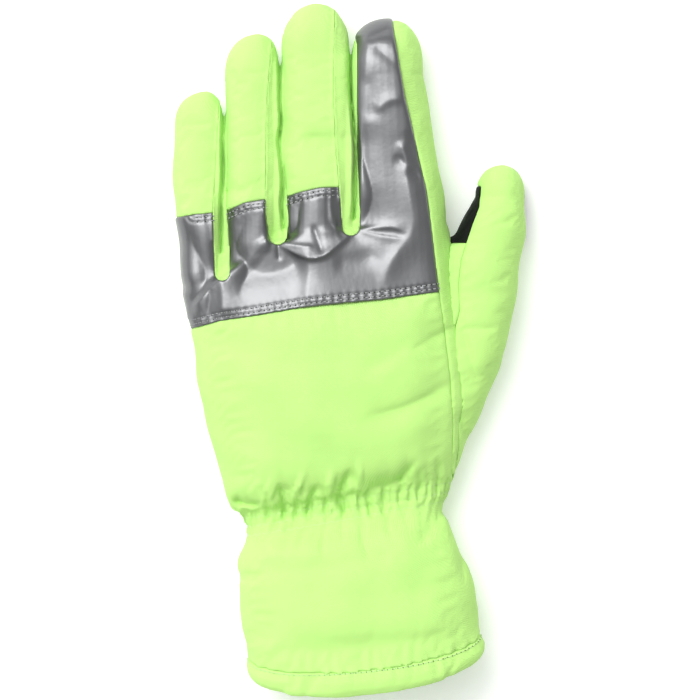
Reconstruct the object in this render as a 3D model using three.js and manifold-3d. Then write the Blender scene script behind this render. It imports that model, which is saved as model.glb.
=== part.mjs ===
// Padded winter work glove for the left hand, lying on its palm.
// Millimetres, +Z up. Fingers point to +Y, the thumb is on the +X side and the back of the hand faces up.
// The origin is on the flat underside of the palm, in the middle of the glove's length and width.
// Every piece is a sewn panel with its own wall, cut from lofted tubes along the seam lines.
import * as THREE from "three";
import { mergeVertices } from "three/addons/utils/BufferGeometryUtils.js";
import Module from "manifold-3d";

const wasm = await Module();
wasm.setup();

// Driving dimensions.
const GAP = 0.4; // left open at every seam
const WALL = { finger: 3.2, hand: 3.8, thumb: 3.2, wrist: 3.2, cuff: 3.2 };
const HEM_WALL = 4.8; // the hem is folded double
const PALM_SEAM_Z = 7; // height of the seam that runs round the palm panel
const SAG = 0.9; // how far a round section is pressed flat where it lies on the table
const ROUNDING = { top: 2.25, bottom: 2.7 }; // exponents of the upper and lower half of a section
const TIP_ROUNDING = 2.3; // exponent of a fingertip's outline
const GATHERS = 20; // pleats round the elastic
const EVEN_SPACING = 0.4; // moves the points of a wide section towards its broad sides
const HAND_AXIS_X = -10; // the slanted rows of the hand turn about this line
const TALL = 120; // height of the cutting prisms
const FAR = 200; // a length beyond the glove
const CLEAR = 3; // how far a cutter runs past the end that it opens
const BELOW = -1; // where a cutter starts under the table

// How finely the tubes are faceted: sides round the outer and inner wall, and the spacing of their rows.
const TIP_SECTIONS = [0.985, 0.9, 0.72, 0.42]; // places along the cap of a finger
const CROTCH_SIDES = 4; // round the end of the seam between two fingers
const FACETS = {
  hand: { outer: 30, inner: 16, step: 12 },
  finger: { outer: 16, inner: 8, step: 20 },
  thumb: { outer: 16, inner: 10, step: 16 },
  gathered: { outer: 3 * GATHERS, inner: 18, step: 11 },
  hem: { outer: 30, inner: 18, step: 3.4 },
};

const COLOUR = {
  highVis: new THREE.Color(0.66, 0.97, 0.3),
  silver: new THREE.Color(0.55, 0.56, 0.58),
  black: new THREE.Color(0.02, 0.022, 0.024),
};
const MATERIAL = {
  shell: new THREE.MeshStandardMaterial({ color: COLOUR.highVis, roughness: 0.85, metalness: 0 }),
  reflective: new THREE.MeshStandardMaterial({ color: COLOUR.silver, roughness: 0.3, metalness: 0.8 }),
  grip: new THREE.MeshStandardMaterial({ color: COLOUR.black, roughness: 0.7, metalness: 0 }),
};

// Sections of each finger from tip to palm: its left and right edge from above, and its height off the table.
// The tip is rounded over the length of the cap towards tipX.
const FINGERS = {
  little: {
    cap: 14.6,
    tipX: -60.6,
    rows: [
      { y: 94, left: -73.5, right: -53.2, height: 19 },
      { y: 70, left: -74.3, right: -53.4, height: 21.5 },
      { y: 46, left: -71.9, right: -53.4, height: 24 },
      { y: 24, left: -69.6, right: -50, height: 25 },
      { y: 4, left: -60, right: -44, height: 22 },
    ],
  },
  ring: {
    cap: 16.6,
    tipX: -38.6,
    rows: [
      { y: 115.5, left: -52.3, right: -29.7, height: 22 },
      { y: 90, left: -52.7, right: -29.6, height: 24.5 },
      { y: 58, left: -52.5, right: -29.6, height: 27.5 },
      { y: 10, left: -52, right: -28, height: 26 },
    ],
  },
  middle: {
    cap: 20.8,
    tipX: -14.5,
    rows: [
      { y: 124, left: -29.1, right: -0.2, height: 25 },
      { y: 90, left: -29.1, right: 1.3, height: 27.5 },
      { y: 60, left: -28.9, right: 1.5, height: 30 },
      { y: 10, left: -28, right: 2, height: 28 },
    ],
  },
  index: {
    cap: 23.6,
    tipX: 16.6,
    rows: [
      { y: 115, left: 0.8, right: 30.6, height: 25 },
      { y: 84, left: 2.2, right: 35.2, height: 27.5 },
      { y: 50, left: 2.2, right: 40.2, height: 30 },
      { y: 10, left: 3, right: 40, height: 28 },
    ],
  },
};

const THUMB = {
  cap: 13.2,
  tipX: 64,
  rows: [
    { y: 64, left: 52.8, right: 73.8, height: 22 },
    { y: 50.4, left: 45, right: 73.6, height: 25 },
    { y: 42, left: 41.6, right: 72.4, height: 26 },
    { y: 18, left: 39.4, right: 69, height: 27.5 },
    { y: -4, left: 38, right: 63.8, height: 26.5 },
    { y: -26, left: 35, right: 55, height: 23 },
    { y: -42, left: 33, right: 48.4, height: 21 },
    { y: -50, left: 32, right: 44.6, height: 20 },
  ],
};

// Rows of the hand from the knuckles to the wrist, then of the elastic, the cuff and the hem.
// slant: how fast a row rises to the thumb side. bow: how far its upper half reaches towards the arm.
// gather: depth of the pleats.
const HAND_ROWS = [
  { y: 57, left: -71.4, right: 37.2, height: 28, slant: 0.15, bow: 0, gather: 0 },
  { y: 30, left: -69.4, right: 42, height: 32, slant: 0.15, bow: 0, gather: 0 },
  { y: 10, left: -65.2, right: 43, height: 35.5, slant: 0.15, bow: 0, gather: 0 },
  { y: -10, left: -63.4, right: 45.8, height: 37, slant: 0.15, bow: 0, gather: 0 },
  { y: -30, left: -58.2, right: 46.6, height: 37, slant: 0.155, bow: 0, gather: 0 },
  { y: -46, left: -53.4, right: 45, height: 35.5, slant: 0.16, bow: 0, gather: 0.3 },
  { y: -56, left: -50.4, right: 43, height: 33, slant: 0.165, bow: 0, gather: 1 },
  { y: -61.4, left: -47.4, right: 42, height: 30, slant: 0.17, bow: 0, gather: 1.5 },
];
const WRIST_ROWS = [
  { y: -61.9, left: -44.8, right: 41.6, height: 28.2, slant: 0.17, bow: 0, gather: 1.2 },
  { y: -68, left: -43.6, right: 40.4, height: 27.5, slant: 0.17, bow: 0, gather: 0.8 },
  { y: -74.6, left: -43.8, right: 38.9, height: 29.5, slant: 0.17, bow: -0.4, gather: 1 },
];
const CUFF_ROWS = [
  { y: -75.1, left: -44.2, right: 39.2, height: 29.8, slant: 0.17, bow: -0.4, gather: 1 },
  { y: -81, left: -47, right: 42.4, height: 34, slant: 0.16, bow: -1.4, gather: 0.6 },
  { y: -90, left: -46.4, right: 47.2, height: 37, slant: 0.14, bow: -2.6, gather: 0.2 },
  { y: -102, left: -46.4, right: 50.8, height: 39, slant: 0.12, bow: -5, gather: 0 },
  { y: -114, left: -45.2, right: 53.2, height: 40.4, slant: 0.11, bow: -7.4, gather: 0 },
  { y: -125, left: -43, right: 54.6, height: 41, slant: 0.1, bow: -9.8, gather: 0 },
];
const HEM_ROWS = [
  { y: -125.5, left: -43.4, right: 55.2, height: 41.4, slant: 0.1, bow: -9.9, gather: 0 },
  { y: -129, left: -43.6, right: 56.8, height: 42.2, slant: 0.1, bow: -11.6, gather: 0 },
  { y: -132.4, left: -42.6, right: 56.8, height: 41.4, slant: 0.1, bow: -13.2, gather: 0 },
];

// Broad folds of the cloth: a ridge, or a dent where height is negative, between two points seen from above.
const FOLDS = [
  { name: "crescent under the middle finger", x0: -27, y0: 45, x1: -1, y1: 42, width: 5, height: 1.4 },
  { name: "knuckle hollow", x0: -20, y0: 34, x1: 0, y1: 36, width: 6, height: -1.2 },
  { name: "little finger fold", x0: -66, y0: 20, x1: -54, y1: 32, width: 4, height: 1.3 },
  { name: "ring knuckle", x0: -46, y0: 50, x1: -44, y1: 28, width: 7, height: 1.2 },
  { name: "index knuckle", x0: 20, y0: 52, x1: 14, y1: 28, width: 8, height: 1.2 },
  { name: "hand crease from the thumb", x0: 38, y0: 8, x1: 12, y1: -6, width: 6, height: -1.3 },
  { name: "wrist crease from the thumb", x0: 42, y0: -14, x1: 20, y1: -28, width: 6, height: -1.1 },
  { name: "cuff dent on the thumb side", x0: 38, y0: -70, x1: 30, y1: -104, width: 7, height: -1.5 },
  { name: "cuff ridge under the elastic", x0: -36, y0: -84, x1: 18, y1: -78, width: 6, height: 1.2 },
  { name: "hollow over the hem", x0: -24, y0: -126, x1: 16, y1: -126, width: 5, height: -1 },
];

// Seam lines seen from above.
const KNUCKLE_LINE = [[-76, 22], [-65, 25], [-52.5, 30.6], [-42, 39.6], [-30.5, 45.6], [0, 49.2], [50, 50]];
// The strip between two fingers: its seam on either side, and the round end where the fingers part.
const FOURCHETTES = [
  {
    name: "fourchette_little_ring",
    left: [[-54.3, 108], [-55.4, 92], [-56.2, 77], [-57.4, 57], [-57.1, 46]],
    crotch: { x: -53.4, y: 32, radius: 3.2 },
    right: [[-50.4, 42], [-51.4, 58], [-51.4, 114]],
  },
  {
    name: "fourchette_ring_middle",
    left: [[-32.4, 132], [-34.6, 107], [-35.2, 83], [-35.4, 57]],
    crotch: { x: -30.2, y: 47.8, radius: 3.9 },
    right: [[-25.6, 53.8], [-26.4, 66], [-27.6, 78], [-27.6, 134]],
  },
  {
    name: "fourchette_middle_index",
    left: [[-6.4, 142], [-6.9, 105], [-5.9, 84], [-4, 62]],
    crotch: { x: 0.4, y: 51.3, radius: 3.7 },
    right: [[4.2, 58], [3.8, 68], [3, 84], [3, 128], [-1, 142]],
  },
];
const FINGER_BACKS = ["little_finger_back", "ring_finger_back", "middle_finger_back"];
const INDEX_SEAM = [
  [17.2, 144], [18.4, 132], [20.4, 120], [23, 105], [28.1, 84], [31.9, 67.2], [34.2, 50.4], [37.2, 24.4],
];
const WRIST_SEAM = [[39.5, 8.4], [42, -12.6], [43, -29.4], [42.6, -46], [42, -70]];
const BAND_LOWER_EDGE = [
  [-80, 5], [-66.4, 9], [-54.6, 12], [-37.8, 14.7], [-21, 17.6], [-4.2, 19.5], [12.6, 21],
];
const BAND_UPPER_EDGE = [
  [-1, 144], [1.8, 70], [-4, 68], [-12.6, 67.8], [-21, 65.9], [-29.4, 63.2], [-35.5, 63], [-44.1, 61.5],
  [-52.6, 57.8], [-65.1, 56.7], [-80, 54],
];
const THUMB_SEAM = [
  [60, 100], [55, 68.5], [54, 59.6], [50.8, 51.2], [48.7, 44.7], [46.4, 37], [45.4, 27.3], [45.8, 16],
  [43, 6], [40, -10], [38, -60],
];
const THUMB_CROTCH_Y = 12; // above this the thumb only lies against the hand
const THUMB_UNDERSIDE_Z = 6; // the palm side of the thumb wraps below this height
const GRIP_PATCH = { from: 44.7, to: 68.5 }; // along Y

// Helpers.
const lerp = THREE.MathUtils.lerp;

function solidOf(geometry) {
  const bare = new THREE.BufferGeometry();
  bare.setAttribute("position", geometry.getAttribute("position"));
  bare.setIndex(geometry.index);
  const merged = mergeVertices(bare, 1e-3);
  const vertProperties = new Float32Array(merged.attributes.position.array);
  const triVerts = new Uint32Array(merged.index.array);
  return new wasm.Manifold(new wasm.Mesh({ numProp: 3, vertProperties, triVerts }));
}

function geometryOf(solid) {
  const mesh = solid.getMesh();
  const geometry = new THREE.BufferGeometry();
  geometry.setAttribute("position", new THREE.BufferAttribute(mesh.vertProperties, 3));
  geometry.setIndex(new THREE.BufferAttribute(mesh.triVerts, 1));
  geometry.computeVertexNormals();
  return geometry;
}

function union(solids) {
  return solids.reduce((all, next) => all.add(next));
}

// The main body of a cut, without the crumbs that a knife leaves.
function largest(solid) {
  return solid.decompose().sort((a, b) => b.volume() - a.volume())[0];
}

// A closed tube through rings that all hold the same number of points, with a flat end at each side.
function loftedTube(rings) {
  const sides = rings[0].length;
  const points = rings.flat();
  const faces = [];
  for (let i = 0; i + 1 < rings.length; i++)
    for (let k = 0; k < sides; k++) {
      const a = i * sides + k;
      const b = i * sides + ((k + 1) % sides);
      faces.push(a, b, a + sides, b, b + sides, a + sides);
    }
  const last = (rings.length - 1) * sides;
  const centre = (ring) => ring.reduce((sum, p) => sum.add(p), new THREE.Vector3()).divideScalar(sides);
  points.push(centre(rings[0]), centre(rings.at(-1)));
  for (let k = 0; k < sides; k++) {
    const next = (k + 1) % sides;
    faces.push(points.length - 2, next, k, points.length - 1, last + k, last + next);
  }
  const geometry = new THREE.BufferGeometry().setFromPoints(points);
  geometry.setIndex(faces);
  return solidOf(geometry);
}

// Rows between the given ones, along a smooth curve through every column.
function smoothRows(rows, step) {
  const columns = Object.keys(rows[0]);
  const values = rows.flatMap((row) => columns.map((column) => row[column]));
  const along = rows.map((row) => -row.y);
  const curve = new THREE.CubicInterpolant(along, values, columns.length, new Float64Array(columns.length));
  const count = Math.max(rows.length - 1, Math.round((along.at(-1) - along[0]) / step));
  return Array.from({ length: count + 1 }, (_, i) => {
    const found = curve.evaluate(lerp(along[0], along.at(-1), i / count));
    return Object.fromEntries(columns.map((column, c) => [column, found[c]]));
  });
}

function foldHeight(x, y) {
  let height = 0;
  for (const fold of FOLDS) {
    const line = new THREE.Line3(new THREE.Vector3(fold.x0, fold.y0), new THREE.Vector3(fold.x1, fold.y1));
    const point = new THREE.Vector3(x, y);
    const away = line.closestPointToPoint(point, true, new THREE.Vector3()).distanceTo(point) / fold.width;
    height += fold.height * Math.exp(-away * away);
  }
  return height;
}

// One rounded section, flat where it lies on the table. inset moves it inwards from the outer surface.
function ring(row, sides, inset) {
  const across = (row.right - row.left) / 2 - inset;
  const up = (row.height + SAG) / 2 - inset;
  const gather = inset > 0 ? 0 : row.gather ?? 0;
  const middleX = (row.left + row.right) / 2;
  const middleZ = (row.height - SAG) / 2;
  const evening = EVEN_SPACING * Math.max(0, 1 - up / across);
  return Array.from({ length: sides }, (_, k) => {
    const turn = (2 * Math.PI * k) / sides;
    const angle = turn + evening * Math.sin(2 * turn);
    const [c, s] = [Math.cos(angle), Math.sin(angle)];
    const power = 2 / (s > 0 ? ROUNDING.top : ROUNDING.bottom);
    const pleat = gather * Math.cos(GATHERS * turn);
    const x = middleX + Math.sign(c) * Math.abs(c) ** power * (across + pleat);
    const lift = Math.sign(s) * Math.abs(s) ** power * (up + pleat);
    const y = row.y + (row.slant ?? 0) * (x - HAND_AXIS_X) + (row.bow ?? 0) * Math.max(0, s);
    const fold = s > 0 ? foldHeight(x, y) * s : 0;
    return new THREE.Vector3(x, y, Math.max(middleZ + lift + fold, Math.max(inset, 0)));
  });
}

// A finger or the thumb: a rounded tip, then the smoothed rows.
function fingerTube(finger, sides, inset, step) {
  const rows = smoothRows(finger.rows, step);
  const tips = TIP_SECTIONS.map((t) => {
    const row = { ...rows[0], y: rows[0].y + t * (finger.cap - inset) };
    const share = (1 - t ** TIP_ROUNDING) ** (1 / TIP_ROUNDING);
    return ring(row, sides, inset).map((point) => shrunk(point, finger, share));
  });
  return loftedTube([...tips, ...rows.map((row) => ring(row, sides, inset))]);
}

// A point of a tip's section, drawn in towards the end of the finger.
function shrunk(point, finger, share) {
  const middleZ = (finger.rows[0].height - SAG) / 2;
  return new THREE.Vector3(lerp(finger.tipX, point.x, share), point.y, lerp(middleZ, point.z, share));
}

function handTube(rows, sides, inset, step) {
  return loftedTube(smoothRows(rows, step).map((row) => ring(row, sides, inset)));
}

// The outline of a prism, moved outwards by grow.
function grownOutline(points, grow) {
  const clockwise = THREE.ShapeUtils.isClockWise(points.map(([x, y]) => new THREE.Vector2(x, y)));
  return points.map((point, i) => {
    const [before, here, after] = [points.at(i - 1), point, points[(i + 1) % points.length]].map(
      ([x, y]) => new THREE.Vector2(x, y),
    );
    const normals = [here.clone().sub(before), after.clone().sub(here)].map((edge) =>
      new THREE.Vector2(edge.y, -edge.x).normalize().multiplyScalar(clockwise ? -1 : 1),
    );
    const mean = normals[0].add(normals[1]).normalize();
    return here.addScaledVector(mean, grow);
  });
}

function prism(outline, low, high, grow = 0) {
  const shape = new THREE.Shape(grownOutline(outline, grow));
  const geometry = new THREE.ExtrudeGeometry(shape, { depth: high - low, bevelEnabled: false });
  return solidOf(geometry.translate(0, 0, low));
}

function slab(yLow, yHigh, zLow, zHigh) {
  const geometry = new THREE.BoxGeometry(2 * FAR, yHigh - yLow, zHigh - zLow);
  return solidOf(geometry.translate(0, (yLow + yHigh) / 2, (zLow + zHigh) / 2));
}

// Hand, fingers and thumb as closed outer and inner bodies.
function knucklePrism(back) {
  const front = KNUCKLE_LINE.map(([x, y]) => [x, y - back]);
  const corners = [[FAR, front.at(-1)[1]], [FAR, -FAR], [-FAR, -FAR], [-FAR, front[0][1]]];
  return prism([...front, ...corners], -TALL, TALL);
}

function handBody(facets, handInset, fingerInset) {
  const hand = handTube(HAND_ROWS, FACETS.hand[facets], handInset, FACETS.hand.step);
  const fingers = Object.values(FINGERS).map((finger) =>
    fingerTube(finger, FACETS.finger[facets], fingerInset, FACETS.finger.step),
  );
  return union([hand.intersect(knucklePrism(handInset)), ...fingers]);
}

// The outer body, moved outwards by grow.
function outerHand(grow) {
  return handBody("outer", -grow, -grow);
}

const handOuter = outerHand(0);
// The inner hand runs past the wrist end, so that the arm's side stays open.
const lastRow = HAND_ROWS.at(-1);
const wristMouth = handTube(
  [HAND_ROWS.at(-2), lastRow, { ...lastRow, y: lastRow.y - CLEAR }],
  FACETS.hand.inner,
  WALL.hand,
  FACETS.hand.step,
);
const handInner = handBody("inner", WALL.hand, WALL.finger).add(wristMouth);
const thumbOuter = fingerTube(THUMB, FACETS.thumb.outer, 0, FACETS.thumb.step);
const thumbInner = fingerTube(THUMB, FACETS.thumb.inner, WALL.thumb, FACETS.thumb.step).intersect(
  slab(THUMB.rows.at(-1).y + WALL.thumb, FAR, BELOW, TALL),
);
const thumbPassage = thumbInner.intersect(slab(-FAR, THUMB_CROTCH_Y, BELOW, TALL));
const handShell = handOuter.subtract(handInner).subtract(thumbPassage);
const thumbShell = thumbOuter.subtract(thumbInner).subtract(outerHand(GAP));

// The knives that part the panels, one for each strip.
function fourchetteOutline({ left, crotch, right }) {
  const arc = Array.from({ length: CROTCH_SIDES + 1 }, (_, i) => {
    const angle = Math.PI * (1 + i / CROTCH_SIDES);
    return [crotch.x + crotch.radius * Math.cos(angle), crotch.y + crotch.radius * Math.sin(angle)];
  });
  return [...left, ...arc, ...right];
}

const INDEX_SEAM_ROOT = INDEX_SEAM.at(-1);
const bandOutline = [...BAND_LOWER_EDGE, ...INDEX_SEAM.toReversed(), ...BAND_UPPER_EDGE];
const handBackOutline = [...BAND_LOWER_EDGE, INDEX_SEAM_ROOT, [FAR, INDEX_SEAM_ROOT[1]], [FAR, -FAR], [-FAR, -FAR]];
const fingerEndsOutline = [...BAND_UPPER_EDGE, [-FAR, FAR], [-1, FAR]];

const stripOutlines = Object.fromEntries(FOURCHETTES.map((strip) => [strip.name, fourchetteOutline(strip)]));
stripOutlines.index_side_strip = [...INDEX_SEAM, ...WRIST_SEAM, [FAR, -70], [FAR, 144]];

function withoutStrips(solid) {
  return Object.values(stripOutlines).reduce(
    (left, outline) => left.subtract(prism(outline, BELOW, TALL, GAP)),
    solid,
  );
}

// Panels of the hand.
const upperShell = handShell.intersect(slab(-FAR, FAR, PALM_SEAM_Z + GAP / 2, TALL));
const palmPanel = largest(handShell.intersect(slab(-FAR, FAR, BELOW, PALM_SEAM_Z - GAP / 2)));
const upperPanels = withoutStrips(upperShell);
const handBack = largest(upperPanels.intersect(prism(handBackOutline, BELOW, TALL, -GAP)));
// The reflective panel runs over the knuckles and up the whole back of the index finger.
const reflectiveBand = largest(upperPanels.intersect(prism(bandOutline, BELOW, TALL)));
const fingerBacks = upperPanels
  .intersect(prism(fingerEndsOutline, BELOW, TALL, -GAP))
  .decompose()
  .sort((a, b) => b.volume() - a.volume())
  .slice(0, FINGER_BACKS.length)
  .sort((a, b) => a.boundingBox().min[0] - b.boundingBox().min[0]);

// Panels of the thumb.
const thumbInside = [...THUMB_SEAM, [-FAR, -60], [-FAR, 100]];
function thumbPalmSide(grow) {
  return prism(thumbInside, BELOW, TALL, grow).add(slab(-FAR, FAR, BELOW, THUMB_UNDERSIDE_Z + grow));
}
const thumbTip = thumbShell.intersect(slab(GRIP_PATCH.to, FAR, BELOW, TALL));
const thumbBack = largest(thumbShell.subtract(thumbPalmSide(GAP)).add(thumbTip));
const palmSideOfThumb = thumbShell.intersect(thumbPalmSide(0));
const thumbFront = largest(palmSideOfThumb.intersect(slab(-FAR, GRIP_PATCH.from, BELOW, TALL)));
const gripPatch = largest(
  palmSideOfThumb.intersect(slab(GRIP_PATCH.from + GAP, GRIP_PATCH.to - GAP, BELOW, TALL)),
);

// The elastic, the cuff and its hem are open tubes.
function openTube(rows, facets, wall) {
  const first = rows[0];
  const last = rows.at(-1);
  const longer = [{ ...first, y: first.y + CLEAR }, ...rows, { ...last, y: last.y - CLEAR }];
  const outer = handTube(rows, facets.outer, 0, facets.step);
  return outer.subtract(handTube(longer, facets.inner, wall, facets.step));
}

const wristGather = openTube(WRIST_ROWS, FACETS.gathered, WALL.wrist);
const cuff = openTube(CUFF_ROWS, FACETS.gathered, WALL.cuff);
const hem = openTube(HEM_ROWS, FACETS.hem, HEM_WALL);

// The assembly.
function panel(name, solid, material) {
  const mesh = new THREE.Mesh(geometryOf(solid), material);
  mesh.name = name;
  return mesh;
}

const glove = new THREE.Group();
glove.add(panel("hand_back", handBack, MATERIAL.shell));
FINGER_BACKS.forEach((name, i) => glove.add(panel(name, fingerBacks[i], MATERIAL.shell)));
glove.add(panel("palm_panel", palmPanel, MATERIAL.shell));
for (const [name, outline] of Object.entries(stripOutlines)) {
  const strip = largest(upperShell.intersect(prism(outline, BELOW, TALL)));
  glove.add(panel(name, strip, MATERIAL.shell));
}
glove.add(panel("reflective_band", reflectiveBand, MATERIAL.reflective));
glove.add(panel("thumb_back", thumbBack, MATERIAL.shell));
glove.add(panel("thumb_front", thumbFront, MATERIAL.shell));
glove.add(panel("thumb_grip_patch", gripPatch, MATERIAL.grip));
glove.add(panel("wrist_gather", wristGather, MATERIAL.shell));
glove.add(panel("cuff", cuff, MATERIAL.shell));
glove.add(panel("cuff_hem", hem, MATERIAL.shell));

export default glove;
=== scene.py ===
"""Padded winter work glove for the left hand, lying on its palm: high-visibility cloth with a silver
reflective panel over the knuckles and the index finger, a gathered wrist and a gauntlet cuff.

Every panel is a closed padded wall. The skins of the hand, fingers and thumb are lofted, filled like
padded cloth by a short cloth simulation, and turned into distance fields, from which each panel is cut
along its seams. Distances in the tables are millimetres, the scene is in metres.
"""

import collections
import functools
import math

import bmesh
import bpy
import numpy as np
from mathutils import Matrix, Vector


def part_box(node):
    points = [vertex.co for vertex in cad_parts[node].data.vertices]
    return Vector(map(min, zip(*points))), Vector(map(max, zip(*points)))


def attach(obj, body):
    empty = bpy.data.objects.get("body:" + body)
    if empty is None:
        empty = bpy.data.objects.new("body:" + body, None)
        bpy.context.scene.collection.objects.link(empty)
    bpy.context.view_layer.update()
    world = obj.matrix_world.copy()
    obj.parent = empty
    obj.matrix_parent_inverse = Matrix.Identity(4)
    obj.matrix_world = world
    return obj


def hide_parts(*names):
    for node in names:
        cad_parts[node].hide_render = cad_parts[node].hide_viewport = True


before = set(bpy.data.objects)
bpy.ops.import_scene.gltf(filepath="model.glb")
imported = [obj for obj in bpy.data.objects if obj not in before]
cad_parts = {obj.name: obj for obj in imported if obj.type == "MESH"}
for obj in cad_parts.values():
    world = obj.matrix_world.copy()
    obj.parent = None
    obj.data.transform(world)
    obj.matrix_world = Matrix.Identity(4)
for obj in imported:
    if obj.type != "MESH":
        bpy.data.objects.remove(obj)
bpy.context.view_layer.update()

import openvdb
from mathutils import Vector
from mathutils.bvhtree import BVHTree

bl_info = {
    "name": "High-visibility winter glove",
    "version": (1, 0, 0),
    "blender": (4, 5, 0),
    "location": "View3D > Sidebar > Glove",
    "description": "Builds the padded panels, stitching and studio of a high-visibility winter glove",
    "category": "Object",
}

MM = 0.001

# The round sections of the tubes that the glove is sewn from.
SAG = 0.9  # how far a section is pressed flat on the table
ROUND_TOP, ROUND_BOTTOM = 2.25, 2.7  # exponents of a section's upper and lower half
TIP_ROUNDING = 2.3  # exponent of the round end of a finger
TIP_ARC = 1.4  # how long the way round that end is, for each millimetre of its height
LAST_RING = 0.49  # how far round that end its last ring lies, in half turns
EVEN_SPACING = 0.4  # how much the points of a flat section are moved, to space them evenly
HAND_AXIS_X = -10.0  # where a slanted row lies at the y of its table
PALM_SEAM_Z = 7.0  # height of the seam round the palm

# Sections from the tip to the palm: y, left and right edge from above, height off the table.
FINGERS = {
    "little": {
        "cap": 14.6, "tip_x": -60.6,
        "rows": [(94, -73.5, -53.2, 19), (70, -74.3, -53.4, 21.5), (46, -71.9, -53.4, 24),
                 (24, -69.6, -50, 25), (4, -60, -44, 22)],
    },
    "ring": {
        "cap": 16.6, "tip_x": -38.6,
        "rows": [(115.5, -52.3, -29.7, 22), (90, -52.7, -29.6, 24.5), (58, -52.5, -29.6, 27.5),
                 (10, -52, -28, 26)],
    },
    "middle": {
        "cap": 20.8, "tip_x": -14.5,
        "rows": [(124, -29.1, -0.2, 25), (90, -29.1, 1.3, 27.5), (60, -28.9, 1.5, 30), (10, -28, 2, 28)],
    },
    "index": {
        "cap": 23.6, "tip_x": 16.6,
        "rows": [(115, 0.2, 30.6, 25.6), (84, -1.6, 35.2, 28), (50, -2, 40.2, 30), (10, 3, 40, 28)],
    },
}
THUMB = {
    "cap": 13.2, "tip_x": 64,
    "rows": [(64, 52.8, 73.8, 22), (50.4, 45, 73.6, 25), (42, 41.6, 72.4, 26), (18, 39.4, 69, 27.5),
             (-4, 38, 63.8, 26.5), (-26, 35, 55, 23), (-42, 33, 47.8, 21), (-50, 32, 44, 19),
             (-57, 31, 40.5, 17)],
}
# From the knuckles to the hem: y, left, right, height, slant of the row, bow of its upper half.
HAND_ROWS = [
    (57, -71.4, 37.2, 28, 0.15, 0), (30, -69.4, 42.6, 32, 0.15, 0), (10, -65.2, 45.4, 35.5, 0.15, 0),
    (-10, -63.4, 48.8, 37, 0.15, 0), (-30, -58.2, 49, 37, 0.155, 0), (-46, -53.4, 46.6, 35.5, 0.16, 0),
    (-56, -50.4, 44.8, 32.6, 0.165, 0), (-61.6, -46.4, 43.8, 29.4, 0.17, 0),
    (-68, -43.6, 41.4, 27.5, 0.17, 0), (-74.8, -44, 39, 29.6, 0.17, -0.4), (-81, -47, 42.4, 34, 0.16, -1.4),
    (-90, -46.4, 47.2, 37, 0.14, -2.6), (-102, -46.4, 50.8, 39, 0.12, -5),
    (-114, -45.2, 53.2, 40.4, 0.11, -7.4), (-125.2, -43.2, 55, 41.2, 0.1, -9.9),
    (-129, -43.6, 56.8, 42.2, 0.1, -11.6),
    (-132.4, -42.6, 56.8, 41.4, 0.1, -13.2), (-146, -42, 56.4, 41, 0.1, -13.2),
]
LEFT, RIGHT, HEIGHT, SLANT, BOW = range(1, 6)
ROW_ROUNDS = 3  # how often a point's row is found again with the slant and bow of the row found before
WRIST_TOP, WRIST_END, HEM_TOP, HEM_END = -61.65, -74.85, -125.25, -132.4  # rows where panels meet

# Seam lines seen from above.
KNUCKLE_LINE = [
    (-90, 18), (-76, 22), (-65, 25), (-52.5, 30.6), (-42, 39.6), (-30.5, 45.6), (0, 49.2), (60, 50),
]
STRIPS = {
    "fourchette_little_ring": {
        "left": [(-54.3, 108), (-55.4, 92), (-56.2, 77), (-57.4, 57), (-57.1, 46)],
        "crotch": (-53.4, 32, 3.2), "right": [(-50.4, 42), (-51.4, 58), (-51.4, 114)],
        "border": [(-53.3, 112), (-52.9, 98), (-53.3, 85), (-53.3, 73), (-53.9, 63), (-54, 41)],
    },
    "fourchette_ring_middle": {
        "left": [(-32.4, 132), (-34.6, 107), (-35.2, 83), (-35.4, 57)],
        "crotch": (-30.2, 47.8, 3.9), "right": [(-25.6, 53.8), (-26.4, 66), (-27.6, 78), (-27.6, 134)],
        "border": [(-29.4, 134), (-29.4, 105), (-29, 94), (-29.8, 88), (-29, 80), (-28, 71), (-28.6, 60),
                   (-27.6, 51)],
    },
    "fourchette_middle_index": {
        "left": [(-6.4, 142), (-6.9, 105), (-5.9, 84), (-4, 62)],
        "crotch": (0.4, 51.3, 3.7), "right": [(4.2, 58), (3.8, 68), (3, 84), (3, 128), (-1, 142)],
        "border": [(0.4, 142), (0.6, 105), (1.5, 94), (2.3, 84), (2.1, 71), (2, 63), (1.6, 55)],
    },
}
ARC_POINTS = 9  # points of a strip's round end
INDEX_SEAM = [
    (17.2, 144), (18.4, 132), (20.4, 120), (23, 105), (28.1, 84), (31.9, 67.2), (34.2, 50.4), (37.2, 24.4),
]
WRIST_SEAM = [(39.5, 8.4), (42, -12.6), (43, -29.4), (42.6, -46), (42, -70)]
BAND_LOWER_EDGE = [
    (-80, 5), (-66.4, 9), (-54.6, 12), (-37.8, 14.7), (-21, 17.6), (-4.2, 19.5), (12.6, 21), INDEX_SEAM[-1],
]
BAND_UPPER_EDGE = [
    (-1, 144), (1.8, 70), (-4, 68), (-12.6, 67.8), (-21, 65.9), (-29.4, 63.2), (-35.5, 63), (-44.1, 61.5),
    (-52.6, 57.8), (-65.1, 56.7), (-80, 54),
]
THUMB_SEAM = [
    (60, 100), (55, 68.5), (54, 59.6), (50.8, 51.2), (48.7, 44.7), (46.4, 37), (45.4, 27.3), (45.8, 16),
    (43, 6), (40, -10), (38, -60),
]
THUMB_UNDERSIDE_Z = 6.0  # below this the whole thumb is its palm side
GRIP_PATCH = (44.7, 68.5)  # the rows where the patch begins and ends
FAR = 260.0  # well beyond the glove on every side

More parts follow.
